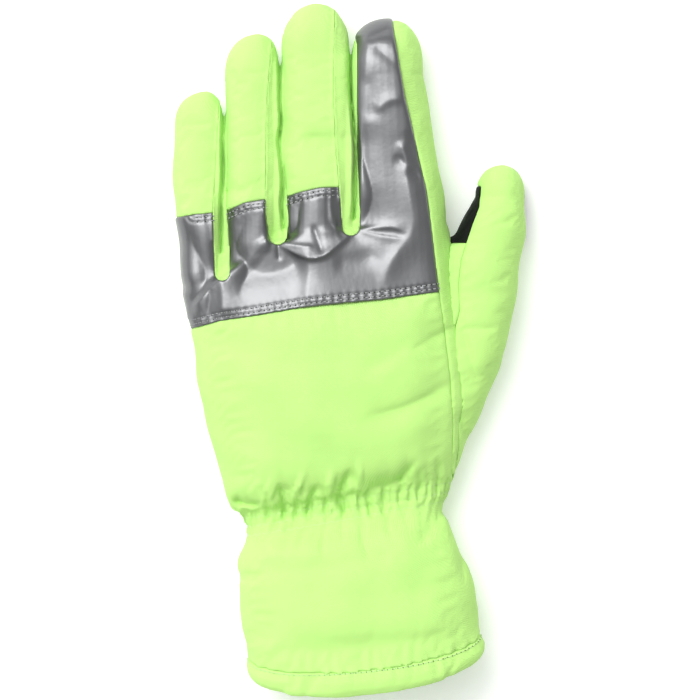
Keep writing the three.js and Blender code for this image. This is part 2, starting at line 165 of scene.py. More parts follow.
# Folds of the cloth seen from above: a ridge along the line, or a hollow where height is negative.
# A fold dies out at both its ends. Width is a pair where one side is steeper: left and right of the
# line as it runs. sharp is 2 for a soft swell and near 1 for a crease.
CLOTH_FOLDS = [  # line, width, height, sharp
    ([(44, 12), (28, 4), (16, -4), (0, -12)], 5, -0.9, 1.6),
    ([(44, -10), (34, -18), (22, -26), (-4, -32)], 5, -0.8, 1.6),
    ([(38, 8), (24, -2), (8, -14)], 4, 0.6, 2),
    ([(-58, -8), (-44, -20), (-34, -38)], 6, -0.6, 2),
    ([(-46, -2), (-20, -24), (10, -46)], 9, 0.8, 2),
    ([(-30, 10), (-4, -8), (28, -34)], 10, -0.5, 2),
    ([(42, -63), (35, -73), (26, -84)], (2.4, 5), -1.4, 1.5),
    ([(34, -80), (30, -94), (27, -108)], 6, -1.0, 1.8),
    ([(44, 10.5), (36, 6), (24, -1)], (3, 1.2), -1.1, 1.3),
    ([(46, -11), (36, -17), (24, -23), (4, -28)], (4, 1.4), -1.1, 1.3),
    ([(-40, -82), (-20, -84), (8, -80)], 6, 1.0, 2),
    ([(-50, -86), (-30, -90), (10, -88)], 4, -0.6, 2),
    ([(4, -85), (12, -86), (18, -86)], 3, -0.5, 2),
    ([(-36, -122), (0, -124), (30, -120)], 5, -0.9, 2),
    ([(-42, -92), (-42, -98)], 5, -0.8, 2),
    ([(-40, -116), (-39, -124)], 5, -0.7, 2),
    ([(-54, 66), (-48, 67), (-42, 64)], 2.4, -0.9, 1.5),
    ([(-20, 88), (-12, 87), (-4, 90)], 3, -0.8, 1.6),
    ([(45, -24), (49, -38), (53, -46)], 2.0, -1.3, 1.4),
    ([(47, 10), (50, -3), (54, -15)], 1.8, -1.0, 1.4),
]
GATHER_FOLDS = [  # where the elastic pinches the hand's cloth, and the puffs between
    ([(-50, -62), (-41, -64.7), (-35, -64)], (2.4, 1.2), -2.6, 1.4),
    ([(-29.4, -55), (-28, -63), (-27.4, -73)], (1.8, 1.0), -3.2, 1.3),
    ([(-13, -55), (-16.4, -62), (-18.6, -72)], (2, 1.1), -3.2, 1.3),
    ([(1, -48), (-3.2, -57), (-4.4, -63), (0, -71)], (2.4, 1.3), -3.4, 1.3),
    ([(4, -60), (9, -57.4), (16.8, -56.3), (29, -45)], (2.2, 1.2), -2.2, 1.4),
    ([(7.4, -58), (9.4, -71)], 1.4, -1.7, 1.4), ([(15, -55), (13.7, -70)], 1.3, -1.5, 1.4),
    ([(21.4, -51), (20, -66)], 1.3, -1.4, 1.4), ([(29.6, -48), (28.2, -64)], 1.3, -1.4, 1.4),
    ([(37.6, -45), (36, -61)], 1.3, -1.3, 1.4), ([(-35, -58), (-34, -72)], 1.2, -1.3, 1.4),
    ([(-22, -58), (-22.8, -72)], 1.2, -1.3, 1.4), ([(-9.6, -56), (-10.8, -71)], 1.2, -1.4, 1.4),
    ([(-36, -58), (-31, -60)], 4.5, 1.3, 2), ([(-23, -57), (-20, -58)], 4.5, 1.5, 2),
    ([(-10, -55), (-6, -56)], 4.5, 1.5, 2), ([(2, -53), (6, -53)], 4.5, 1.2, 2),
    ([(40.7, -66), (45.4, -82), (48.3, -100)], 1.8, -1.3, 1.5),
]
SILVER_FOLDS = [
    ([(-67.2, 56), (-65.5, 44), (-63, 38.6), (-60.5, 32.8), (-60.9, 28), (-63.8, 23.5), (-66, 19), (-67, 12)],
     (3.2, 7), -1.9, 1.3),
    ([(-67, 16.5), (-60.5, 23), (-54.4, 29.2), (-52, 31)], (1.2, 3.5), 1.0, 1.5),
    ([(-58.4, 27), (-58.8, 20), (-59.8, 12)], (1.8, 1.5), -0.7, 1.5),
    ([(-54, 36), (-53, 26), (-53, 12)], (7, 2.5), 1.5, 1.8),
    ([(-43.6, 62), (-44.4, 54), (-46, 49), (-47.5, 44.5), (-46.8, 40.7), (-43.5, 36.5), (-42.8, 33),
      (-45, 27), (-47.5, 20)], (4, 3.6), -1.5, 1.3),
    ([(-45, 38), (-37, 32), (-29.4, 32.8), (-18, 40)], (8, 5.5), -2.0, 1.5),
    ([(-30.2, 47), (-29.6, 36.6)], 1.1, -0.7, 1.5),
    ([(-30, 45), (-22, 43.6), (-14, 43)], (1, 1.6), 0.6, 1.5),
    ([(-31, 45), (-25.2, 41.5), (-21, 39.4), (-16.8, 38.2), (-11.3, 39), (-5.5, 43.3), (-1.3, 47), (3, 53)],
     (3.2, 0.9), 1.4, 1.4),
    ([(-20.6, 66), (-21.4, 58), (-22.3, 52), (-30, 43)], (1.8, 3), -1.2, 1.3),
    ([(-15.6, 53), (-13.4, 46), (-11.2, 39)], 1.5, -0.7, 1.6),
    ([(-9.2, 68), (-9.2, 60), (-8.8, 54), (-6.5, 50.5), (-1, 46)], (2.6, 3), -1.0, 1.4),
    ([(6.4, 98), (5.8, 88), (6, 80), (8.4, 71), (9.4, 64), (8.4, 59), (6, 53), (3, 47)], (6, 2.2), -1.6, 1.4),
    ([(0, 50), (11.3, 51), (17.4, 51.2), (25, 49)], (4, 1.2), 0.9, 1.4),
    ([(2, 50), (13, 47.6), (24, 46)], (1, 2.2), 0.6, 1.5),
    ([(21, 84), (24, 71), (25.6, 61), (26.5, 54), (24, 46), (20, 41), (16, 34), (14, 22)], (5, 3), 1.0, 1.6),
    ([(18, 82), (24.5, 76.5), (31, 70)], 2.2, -0.9, 1.6),
    ([(24.4, 93), (30, 75)], 2, -0.8, 1.6),
    ([(21, 88), (25, 73)], (2.5, 2), 0.9, 1.6),
    ([(9, 128), (19, 120), (25, 116)], 2.6, -0.6, 1.7),
    ([(10, 99), (16, 104), (24, 105)], (3, 2), 0.6, 1.7),
    ([(6, 130), (18, 135)], 2.2, -0.5, 1.6),
    ([(6, 116), (9, 104), (8, 94)], (4, 3), -0.5, 1.8),
    ([(-8, 36), (6, 38), (12, 42)], 4, -0.6, 2),
    ([(-18, 48), (-17, 34), (-18, 14)], (26, 4), 1.6, 1.6),
    ([(-36.4, 66), (-36.2, 54), (-34, 40)], (1.5, 8), 1.6, 1.6),
    ([(-8, 72), (-8, 58), (-4, 44)], (1.5, 7), 1.4, 1.6),
    ([(0, 128), (32, 127)], (7, 34), 2.2, 1.8),
]

# The distance fields that panels are cut from, and the panels' walls.
REACH = 7.0  # how far from a skin its distance field is true
FINGER_WEB = 9.0  # how much cloth fills the valley between two fingers
# It begins so far below the shorter tip, is whole this much further down, and this share of it is above.
WEB_START, WEB_LENGTH, LEAST_WEB = 4.0, 16.0, 0.06
# Two fingers are joined where both are nearer than this, and wholly where they are so much nearer still.
JOINED_TO, JOINED_FADE, LEAST_JOINED = 6.5, 3.0, 0.01
KNUCKLE_ROUNDING, PALM_FILLET, THUMB_FILLET = 2.0, 4.0, 4.0
THUMB_TUCK = (0.5, 1.8)  # how deep and how wide the thumb's cloth is pulled in where it meets the hand
THUMB_MOUTH_Y = 12.0  # the hand is open into the thumb below this row
RIM = 0.15  # how round the edges of a panel are
SEAM_OVERLAP = 0.1  # how far a panel reaches past its seam line, so that a seam is a shallow line
PULL_SHAPE = 2.2  # exponent of the way that cloth is pulled in towards a seam
INNER_FOLLOWS = 0.7  # how much of a hollow's depth shows on the inside too
BLOCK_MARGIN = 5.0  # how far a panel's grid reaches past its solids
FINE, SMALL, MEDIUM, COARSE = 0.54, 0.6, 0.85, 1.15  # spacing of a panel's grid

# Filling the skins with padding.
SKIN_STEP = 2.2  # spacing of the points that the cloth simulation moves
FINGER_SIDES, HAND_SIDES = 40, 100
HOLD_WIDTH = 2.5  # how far a seam or the table holds the cloth beside it
SIDE_HELD = (0.62, 0.3)  # the share of a tube's half width where its side begins to be held, and how fast
HAND_BURIED, FINGER_BURIED = -3.0, -4.0  # how far past the knuckles one skin is inside the other
SIMULATED_FRAMES = 18
SIMULATION_SCALE = 10  # the skins are simulated this much larger, where the forces of Cloth are tuned
PRESSURE = 2.5
SPARE_CLOTH = 0.04  # the cloth is this much larger than its skin, so that it wrinkles
MOST_SWELL = {"hand": 2.2, "thumb": 0.9, "index": 0.8}  # what a point's movement is held under
FINGER_SWELL = 0.5

# A filled finger is flatter on top than its tube: a swell beside each border, with its distance from it.
FINGER_SHOULDER = (1.5, ((1, 8), 2.4, 1.7))
INDEX_SHOULDER = (-2.4, ((13, 1), 3.3, 1.7))
SIDE_SHOULDER, SIDE_SHOULDER_END = ((6, 11), 2.8, 1.7), (41, -4)
SHOULDER_LENGTH = 8.0  # how far a shoulder runs on past its border
BETWEEN_FINGERS = (0.75, -1.3, 1.5)  # the groove between two fingers: width, height, sharp
INDEX_GAP = (0.8, -1.6, 1.4)  # how much deeper the groove is beside the index finger
SEAM_WELT = (0.9, 0.5, 2)  # the ridge of a seam between two fingers: width, height, sharp

# Small folds and unevenness of the cloth.
SEED = 11
RIPPLES = 7  # waves that cross each other
RIPPLE_LENGTHS, RIPPLE_START = (0.7, 1.6), 7.0  # the waves' lengths as shares, and their latest start
CLOTH_RIPPLE, FINE_RIPPLE, SILVER_RIPPLE = (0.4, 20), (0.05, 6), (0.2, 24)  # height, length
SILVER_RAISED = 0.3  # how far the silver film stands above the cloth beside it
FOLD_STEP = 1.6  # spacing of the points along a fold
FOLD_FADE = 0.25  # the share of a fold's length in which an end dies out
SIDE_STEP = 0.1  # a point is on a fold's right where the line moved right by this is nearer
# Heights off the table where relief begins, and how much higher it is whole.
FOLDS_FROM, FOLDS_FULL = 6, 10
RIPPLES_FROM, RIPPLES_FULL = 1, 2
PLEATS_FROM, PLEATS_FULL, LEAST_PLEATS = -1, 3, 0.3
# Puckers beside a seam: their height, how far they run out, and how closely they follow each other.
HEM_PUCKER, HEM_PUCKER_REACH, HEM_PUCKER_RATE = 0.2, 5.0, 1.1
SEAM_PUCKER, SEAM_PUCKER_REACH, SEAM_PUCKER_LENGTH = 0.08, 4.0, 3.4

# The pleats round the elastic. A drift says how far pleats are shifted, over what length, and its start.
PLEAT, FINE_PLEATS = 9.0, (4.2, 2.9)  # from one pleat to the next round the wrist
HAND_PLEAT, ELASTIC_PLEAT, CUFF_PLEAT, FINE_PLEAT = 1.0, 0.7, 0.6, 0.36
HAND_PLEAT_REACH, CUFF_PLEAT_REACH = 8.0, 6.0  # how far pleats run out into the hand and the cuff
PLEAT_SHAPE, PLEAT_LEVEL = 0.7, 0.64  # exponent of a pleat, and where on it the plain cloth would be
PLEAT_DRIFTS = ((2.0, 9.0, 1.3), (0.8, 3.7, 0.4))
PLEAT_SPREAD = (0.12, 14.0, 1.0)  # the drift for each millimetre away from the elastic
FINE_SWAY, FINE_SWAY_RATE = 0.8, 0.6
FINE_RISE = 6.0  # how far above the cuff the fine pleats are whole
WRIST_ROUNDING = 15.0  # how soon the distance round the wrist goes over from its top to its sides
PUFF_STEP, SCALLOP = 1.5, 1.8  # how the hand's cloth puffs out over the elastic
PUFF_EDGE, PUFF_REACH = 0.9, 6.0
PUFF_END_X, PUFF_FADE, LEAST_PUFF = 24.0, 20.0, 0.25  # it grows flatter towards the thumb
GATHERED = ("hand_and_cuff", "index_side_strip", "palm_panel")  # these meet the elastic and the thumb's root

# Stitches.
ELASTIC_ROWS = (-64.4, -68.2, -72.0)
ELASTIC_GROOVE, ELASTIC_GROOVE_DEPTH = 0.9, 0.3
BAND_TOPS = [
    [(-65.1, 56.7), (-52.6, 57.8)], [(-52.6, 57.8), (-44.1, 61.5), (-35.5, 63)],
    [(-29.4, 63.2), (-21, 65.9), (-12.6, 67.8), (-4, 68)],
]
DOUBLE_ROW = (1.4, 3.3)  # the two rows of stitches, from the edge of the silver panel
ROW_GROOVE, ROW_GROOVE_DEPTH = 0.6, 0.3
PUCKER, PUCKER_LENGTH = 0.14, 3.2
PUCKER_MIDDLE, PUCKER_WIDTH = 2.2, 2.0  # between the two rows
HEM_ROW = 0.5  # how far below the hem's seam its row of stitches runs
# Dark dots of painted shade stand in for the shade inside each needle hole, laid between the stitches.
HOLE_SHADE_SIZE = (0.0007, 0.0006)  # length and width, in metres
ELASTIC_STITCH, ELASTIC_LEAN = (0.0019, 0.0022), math.radians(38)  # pitch and length, in metres
ELASTIC_THREAD = 0.4  # how thick its thread is, as a share of the sewing thread
THREAD_LIFT = 0.15  # how far a stitch stands off the cloth, as a share of its thickness
BEYOND_THE_END = 10.0  # metres, longer than any row
PATH_STEP = 0.8  # spacing of the points of a path
RING_POINTS = 480  # points of a path all round the glove
DROP_HEIGHT = 100.0  # a path from above is laid on the cloth from here
DROP_MARGIN = 0.006  # a path all round is laid on it from this far outside, in metres
LOWEST_STITCH = 1.5  # no stitches nearer to the table than this
BREAK_IN_PATH = 3.0  # a wider step between two points is a gap in the path

# Weaves, in metres.
CLOTH_WEAVE, GRIP_WEAVE, THREAD_TWIST = 0.00085, 0.0011, 0.0005  # from one thread to the next
WEAVE_DRIFT, WEAVE_SLOPE = 0.0014, 0.4  # how far its rows stray, and how they run on down the sides

# The studio, in metres.
CAMERA_HEIGHT = 5.0
PICTURE_WIDTH = 0.294  # what the photograph's width takes in at the glove
FLOOR_HALF, FLOOR_DROP = 30.0, 0.0002  # the floor lies just clear of the cloth
KEY_PLACE, KEY_WIDTH, KEY_WATTS = (-0.9, 1.3, 2.2), 2.0, 28.0
TENT_BRIGHT_WAY = (-0.44, 0.4, 0.804)
TENT_FROM, TENT_FOCUS = 0.25, 3.8  # cosine of the angle where the bright side begins, and how narrow it is
TENT_DARK, TENT_BRIGHT = 0.5, 3.3

# Each piece: its cuts, the skin it is cut from, its wall, its grid, and the nodes that it replaces, where
# they aren't the one of its name. A cut says what it is measured from, how deep the cloth is pulled in
# there, and how wide the pull is.
Panel = collections.namedtuple("Panel", "cuts skin wall pitch nodes", defaults=("hand", 3.2, SMALL, None))
OVER_PALM = ("above", PALM_SEAM_Z, 1.2, 5)
FINGER_END = ("in", "finger_ends", 0.25, 1.4)
STRIP_CUTS = [("out", name, 0.0, 1.0) for name in STRIPS]
PANELS = {name: Panel([("in", name, 0.0, 1.0), OVER_PALM]) for name in STRIPS} | {
    "hand_and_cuff": Panel(
        [("hand_and_cuff", None, 0.4, 2.5), ("row_above", HEM_TOP, 0.2, 1.6)],
        wall=3.6, pitch=MEDIUM, nodes=("hand_back", "wrist_gather", "cuff"),
    ),
    "little_finger_back": Panel([FINGER_END, STRIP_CUTS[0], OVER_PALM]),
    "ring_finger_back": Panel([FINGER_END, *STRIP_CUTS[:2], OVER_PALM]),
    "middle_finger_back": Panel([FINGER_END, *STRIP_CUTS[1:], OVER_PALM]),
    "reflective_band": Panel(
        [("in", "band", 0.2, 1.0), ("out", "index_side_strip", 0.4, 1.6), *STRIP_CUTS, OVER_PALM],
        wall=3.6, pitch=FINE,
    ),
    "index_side_strip": Panel(
        [("in", "index_side_strip", 0.4, 2), OVER_PALM, ("row_above", WRIST_TOP, 0.8, 3)], wall=3.6,
    ),
    "palm_panel": Panel(
        [("below", PALM_SEAM_Z, 1.2, 4), ("row_above", WRIST_TOP, 1.0, 4)], wall=3.6, pitch=COARSE,
    ),
    "thumb_back": Panel([("thumb_back", None, 0.5, 2)], skin="thumb"),
    "thumb_front": Panel([("thumb_front", GRIP_PATCH[0], 0.3, 1.6)], skin="thumb"),
    "thumb_grip_patch": Panel([("thumb_grip", GRIP_PATCH, 0.2, 1.2)], skin="thumb"),
    "cuff_hem": Panel([("row_below", HEM_TOP, 0.2, 1.2), ("row_above", HEM_END, 1.2, 3)], wall=4.6),
}


# Shapes of a change, and lines and outlines seen from above.

def ramp(values, start, length):
    """From 0 at the start to 1 a length further on."""
    return np.clip((values - start) / length, 0, 1)


def bell(away, width, sharp=2):
    """From 1 at no distance to 0 well beyond the width."""
    return np.exp(-((away / width) ** sharp))


def line_distance(x, y, line):
    """Distance to a line of points, and the length along it of the nearest point."""
    best = np.full(np.shape(x), np.inf)
    along = np.zeros(np.shape(x))
    start = 0.0
    for (x0, y0), (x1, y1) in zip(line, line[1:]):
        length = math.hypot(x1 - x0, y1 - y0)
        share = np.clip(((x - x0) * (x1 - x0) + (y - y0) * (y1 - y0)) / length**2, 0, 1)
        away = np.hypot(x - x0 - share * (x1 - x0), y - y0 - share * (y1 - y0))
        nearer = away < best
        best = np.where(nearer, away, best)
        along = np.where(nearer, start + share * length, along)
        start += length
    return best, along


def outline_distance(x, y, outline):
    """Distance to a closed outline, below zero inside it."""
    closed = [*outline, outline[0]]
    inside = np.zeros(np.shape(x), bool)
    for (x0, y0), (x1, y1) in zip(closed, closed[1:]):
        crosses = (y0 > y) != (y1 > y)
        slope = (x1 - x0) / (y1 - y0) if y1 != y0 else 0.0
        inside ^= crosses & (x < x0 + slope * (y - y0))
    return np.where(inside, -1, 1) * line_distance(x, y, closed)[0]


def lengths_along(line):
    """How far along the line each of its points lies."""
    return np.append(0, np.cumsum(np.hypot(*np.diff(line, axis=0).T)))


def offset_line(line, inwards):
    """The line moved sideways by a distance to its right."""
    line = np.array(line, float)
    way = np.gradient(line, axis=0)
    way /= np.hypot(*way.T)[:, None]
    return line + inwards * np.stack([way[:, 1], -way[:, 0]], axis=1)


def beyond_knuckles(x, y):
    """How far a point lies past the knuckles, towards the fingertips."""
    line = np.array(KNUCKLE_LINE)
    return y - np.interp(x, line[:, 0], line[:, 1])


def hand_at(row, *columns):
    """Columns of the hand's table at a row."""
    table = np.array(HAND_ROWS, float)[::-1]
    return [np.interp(row, table[:, 0], table[:, column]) for column in columns]


def strip_outline(strip):
    """The strip between two fingers, with a round end where they part."""
    x, y, radius = strip["crotch"]
    turns = np.pi * (1 + np.linspace(0, 1, ARC_POINTS))
    arc = [(x + radius * math.cos(turn), y + radius * math.sin(turn)) for turn in turns]
    return [*strip["left"], *arc, *strip["right"]]


OUTLINES = {name: strip_outline(strip) for name, strip in STRIPS.items()}
OUTLINES["index_side_strip"] = [*INDEX_SEAM, *WRIST_SEAM, (FAR, -70), (FAR, 144)]
OUTLINES["band"] = [*BAND_LOWER_EDGE, *reversed(INDEX_SEAM[:-1]), *BAND_UPPER_EDGE]
OUTLINES["hand_back"] = [*BAND_LOWER_EDGE, (FAR, INDEX_SEAM[-1][1]), (FAR, -FAR), (-FAR, -FAR), (-FAR, 5)]
OUTLINES["finger_ends"] = [*BAND_UPPER_EDGE, (-FAR, 54), (-FAR, FAR), (-1, FAR)]
OUTLINES["thumb_inside"] = [*THUMB_SEAM, (-FAR, -60), (-FAR, 100)]


# Skins: the lofted tubes, as closed meshes.

def smooth_rows(rows, step):
    """Rows between the given ones, along a smooth curve through every column."""
    rows = np.array(rows, float)
    along = rows[0, 0] - rows[:, 0]
    slopes = np.gradient(rows, along, axis=0)
    places = np.linspace(0, along[-1], max(2, round(along[-1] / step)) + 1)
    i = np.clip(np.searchsorted(along, places, side="right") - 1, 0, len(along) - 2)
    length = (along[i + 1] - along[i])[:, None]
    u = (places - along[i])[:, None] / length
    return (
        (2 * u**3 - 3 * u**2 + 1) * rows[i] + (u**3 - 2 * u**2 + u) * length * slopes[i]
        + (3 * u**2 - 2 * u**3) * rows[i + 1] + (u**3 - u**2) * length * slopes[i + 1]
    )


def section(row, sides):
    """One rounded section, flat where it lies on the table. A finger's row has no slant or bow."""
    y, left, right, height, slant, bow = [*row, 0, 0][:6]
    across, up = (right - left) / 2, (height + SAG) / 2
    turn = np.linspace(0, 2 * np.pi, sides, endpoint=False)
    angle = turn + EVEN_SPACING * max(0, 1 - up / across) * np.sin(2 * turn)
    c, s = np.cos(angle), np.sin(angle)
    power = 2 / np.where(s > 0, ROUND_TOP, ROUND_BOTTOM)
    x = (left + right) / 2 + np.sign(c) * np.abs(c) ** power * across
    z = (height - SAG) / 2 + np.sign(s) * np.abs(s) ** power * up
    y = y + slant * (x - HAND_AXIS_X) + bow * np.maximum(0, s)
    return np.stack([x, y, np.maximum(z, 0)], axis=1)


def tip_sections(tube, sides, step):
    """The rounded end of a finger, from its tip to its first row."""
    first = section(tube["rows"][0], sides)
    middle = np.array([tube["tip_x"], first[0, 1], (tube["rows"][0][3] - SAG) / 2])
    count = max(4, round(TIP_ARC * tube["cap"] / step))
    rings = []
    for t in np.sin(np.linspace(LAST_RING * np.pi, 0, count, endpoint=False)):
        share = (1 - t**TIP_ROUNDING) ** (1 / TIP_ROUNDING)
        rings.append(middle + (first - middle) * (share, 1, share) + (0, t * tube["cap"], 0))
    return rings


class Skin:
    """A closed tube of quads with a fan of triangles over each end, in millimetres.

    side_on says for each point how far from the middle of its ring it is, from 0 to 1."""

    def __init__(self, name, rings):
        self.name = name
        sides = len(rings[0])
        ends = [rings[0].mean(axis=0), rings[-1].mean(axis=0)]
        self.points = np.concatenate([*rings, ends]).astype(np.float32)
        across = np.array(rings)[:, :, 0]
        low, high = across.min(axis=1)[:, None], across.max(axis=1)[:, None]
        self.side_on = np.append(abs(2 * across - low - high) / (high - low + 0.1), [1, 1])
        i, k = np.meshgrid(np.arange(len(rings) - 1), np.arange(sides), indexing="ij")
        near, far = i * sides + k, i * sides + (k + 1) % sides
        quads = np.stack([near, far, far + sides, near + sides], axis=-1)
        self.quads = quads.reshape(-1, 4).astype(np.uint32)
        first_end, last_end = np.full(sides, len(self.points) - 2), np.full(sides, len(self.points) - 1)
        k, last = np.arange(sides), (len(rings) - 1) * sides
        first_fan = np.stack([first_end, (k + 1) % sides, k], axis=1)
        last_fan = np.stack([last_end, last + k, last + (k + 1) % sides], axis=1)
        self.triangles = np.concatenate([first_fan, last_fan]).astype(np.uint32)
        self.fields = {}

    def field(self, pitch):
        """The grid of distances from this skin, made once for each pitch."""
        if pitch not in self.fields:
            self.fields[pitch] = openvdb.FloatGrid.createLevelSetFromPolygons(
                self.points, triangles=self.triangles, quads=self.quads,
                transform=openvdb.createLinearTransform(pitch), halfWidth=REACH / pitch,
            )
        return self.fields[pitch]


def lofted_skins():
    """The tubes of the fingers, the thumb and the hand, as their tables say."""
    skins = {}
    for name, tube in {**FINGERS, "thumb": THUMB}.items():
        rows = smooth_rows(tube["rows"], SKIN_STEP)
        rings = tip_sections(tube, FINGER_SIDES, SKIN_STEP)
        skins[name] = Skin(name, rings + [section(row, FINGER_SIDES) for row in rows])
    rows = smooth_rows(HAND_ROWS, SKIN_STEP)
    skins["hand"] = Skin("hand", [section(row, HAND_SIDES) for row in rows])
    return skins


def held_share(skin):
    """From 0 where the cloth is free to 1 where a seam, the table or the next finger holds it.

    The silver panel is stiff and held everywhere."""
    x, y, z = skin.points.T.astype(float)
    seams = [abs(z - PALM_SEAM_Z)]
    for outline in OUTLINES.values():
        seams.append(np.where(z > PALM_SEAM_Z, abs(outline_distance(x, y, outline)), FAR))
    beyond = beyond_knuckles(x, y)
    if skin.name == "hand":
        row = y - hand_at(y, SLANT)[0] * (x - HAND_AXIS_X)
        seams += [abs(row - edge) for edge in (WRIST_TOP, WRIST_END, HEM_TOP, HEM_END)]
        buried = beyond > HAND_BURIED
    else:
        buried = (beyond < FINGER_BURIED) & (skin.name != "thumb")
    held = bell(np.min(seams, axis=0), HOLD_WIDTH)
    held = np.maximum(held, 1 - ramp(z, 0, HOLD_WIDTH))
    held = np.maximum(held, ramp(skin.side_on, *SIDE_HELD))
    stiff = outline_distance(x, y, OUTLINES["band"]) < 0
    return np.where(buried | stiff, 1, held)


def new_object(name, data):
    """An object of the scene for a mesh, a lamp or a camera."""
    made = bpy.data.objects.new(name, data)
    bpy.context.scene.collection.objects.link(made)
    return made


def skin_as_cloth(skin, held):
    """The skin as a larger object with Cloth on it."""
    mesh = bpy.data.meshes.new(skin.name + "_skin")
    faces = [tuple(face) for face in [*skin.quads.tolist(), *skin.triangles.tolist()]]
    mesh.from_pydata((skin.points * MM * SIMULATION_SCALE).tolist(), [], faces)
    cloth = new_object(mesh.name, mesh)
    group = cloth.vertex_groups.new(name="held")
    for index, share in enumerate(held.tolist()):
        group.add([index], share, "REPLACE")
    padding = cloth.modifiers.new("padding", "CLOTH")
    padding.point_cache.frame_end = SIMULATED_FRAMES
    settings = padding.settings
    settings.quality = 6
    settings.mass = 0.3
    settings.tension_stiffness = settings.compression_stiffness = 12
    settings.shear_stiffness = 6
    settings.bending_stiffness = 1.5
    settings.use_pressure = True
    settings.uniform_pressure_force = PRESSURE
    settings.shrink_min = -SPARE_CLOTH
    settings.vertex_group_mass = "held"
    settings.effector_weights.gravity = 0
    return cloth


def fill_with_padding(skins):
    """Lets the skins swell and wrinkle between their seams, as padded cloth does."""
    held = {name: held_share(skin) for name, skin in skins.items()}
    cloths = {name: skin_as_cloth(skin, held[name]) for name, skin in skins.items()}
    scene = bpy.context.scene
    for number in range(1, SIMULATED_FRAMES + 1):
        scene.frame_set(number)
    depsgraph = bpy.context.evaluated_depsgraph_get()
    for name, cloth in cloths.items():
        skin = skins[name]
        filled = np.zeros(len(skin.points) * 3, np.float32)
        cloth.evaluated_get(depsgraph).data.vertices.foreach_get("co", filled)
        step = filled.reshape(-1, 3) / (MM * SIMULATION_SCALE) - skin.points
        limit = MOST_SWELL.get(name, FINGER_SWELL) * (1 - held[name])
        share = limit / (np.linalg.norm(step, axis=1) + limit + 1e-6)
        skin.points = (skin.points + step * share[:, None]).astype(np.float32)
        skin.points[:, 2] = np.maximum(skin.points[:, 2], 0)
    for cloth in cloths.values():
        mesh = cloth.data
        bpy.data.objects.remove(cloth)
        bpy.data.meshes.remove(mesh)
    scene.frame_set(1)


@functools.cache
def padded_skins():
    skins = lofted_skins()
    fill_with_padding(skins)
    return skins


# Distance fields.

class Block:
    """A box of grid points in millimetres, two wider on each side; flat holds x and y of its columns."""

    def __init__(self, low, high, pitch):
        self.pitch = pitch
        self.first = np.floor(np.array(low) / pitch).astype(int) - 2
        self.count = np.ceil(np.array(high) / pitch).astype(int) + 3 - self.first
        x, y, z = (pitch * (self.first[axis] + np.arange(self.count[axis])) for axis in range(3))
        self.flat = np.meshgrid(x, y, indexing="ij")
        self.x, self.y, self.z = x[:, None, None], y[None, :, None], z[None, None, :]

    def distance(self, skin):
        """Distance from a skin, below zero inside it."""
        values = np.empty(self.count, np.float32)
        skin.field(self.pitch).copyToArray(values, ijk=tuple(int(v) for v in self.first))
        return values

    def outline(self, name):
        """Distance to one of the outlines seen from above, below zero inside it."""
        return outline_distance(*self.flat, OUTLINES[name])[:, :, None]

    def row(self):
        """The hand's row that each point lies on, with the slant and the bow of the rows taken out."""
        found = self.y + 0 * self.x + 0 * self.z
        for _ in range(ROW_ROUNDS):
            height, slant, bow = hand_at(found, HEIGHT, SLANT, BOW)
            lift = np.clip((self.z - (height - SAG) / 2) / ((height + SAG) / 2), 0, 1)
            found = self.y - slant * (self.x - HAND_AXIS_X) - bow * lift ** (ROUND_TOP / 2)
        return found

    def mesh(self, values):
        """The surface where a field is zero: points, triangles and quads."""
        grid = openvdb.FloatGrid(float(REACH))
        grid.copyFromArray(np.ascontiguousarray(values, np.float32), ijk=tuple(int(v) for v in self.first))
        grid.transform = openvdb.createLinearTransform(self.pitch)
        return grid.convertToPolygons(0.0, 0.0)


def blended(a, b, radius):
    """The union of two fields, rounded where they meet."""
    share = np.clip(0.5 + 0.5 * (b - a) / radius, 0, 1)
    return b + (a - b) * share - radius * share * (1 - share)


def rounded_cut(a, b, radius):
    """What two fields have in common, with a rounded edge."""
    return -blended(-a, -b, radius)


def hand_field(block, skins):
    """Distance from the outside of the hand with its four fingers."""
    fingers, last_tip = None, None
    for finger, tube in FINGERS.items():
        one = block.distance(skins[finger])
        tip = tube["rows"][0][0] + tube["cap"]
        if fingers is None:
            fingers = one
        else:
            below_tips = min(tip, last_tip) - WEB_START - block.y
            web = FINGER_WEB * np.clip(below_tips / WEB_LENGTH, LEAST_WEB, 1)
            near_both = np.clip((JOINED_TO - np.maximum(one, fingers)) / JOINED_FADE, LEAST_JOINED, 1)
            fingers = blended(one, fingers, web * near_both)
        last_tip = tip
    knuckles = line_distance(*block.flat, KNUCKLE_LINE)[0] * np.sign(beyond_knuckles(*block.flat))
    palm = rounded_cut(block.distance(skins["hand"]), knuckles[:, :, None], KNUCKLE_ROUNDING)
    return blended(fingers, palm, PALM_FILLET)


def sewn_wall(body, wall, cuts, relief):
    """A padded wall under the surface of the body, pinched in towards each cut.

    Each cut is its distance, how deep the cloth is pulled in there, and over what width."""
    outer = body - relief
    for distance, depth, width in cuts:
        outer = outer + depth * np.clip(1 + distance / width, 0, 1) ** PULL_SHAPE
    inner = body + wall - INNER_FOLLOWS * np.minimum(relief, 0)
    solid = rounded_cut(outer, -inner, 2 * RIM)
    for distance, depth, width in cuts:
        solid = rounded_cut(solid, distance - SEAM_OVERLAP, RIM)
    return solid


def panel_object(name, block, values):
    """The closed panel as an object in metres, keeping its largest body."""
    points, triangles, quads = block.mesh(values)
    faces = [tuple(face) for face in quads.tolist()] + [tuple(face) for face in triangles.tolist()]
    mesh = bpy.data.meshes.new(name)
    mesh.from_pydata((points * MM).tolist(), [], faces)
    mesh.update()
    drop_crumbs(mesh)
    face_outwards(mesh)
    mesh.shade_smooth()
    return new_object(name, mesh)


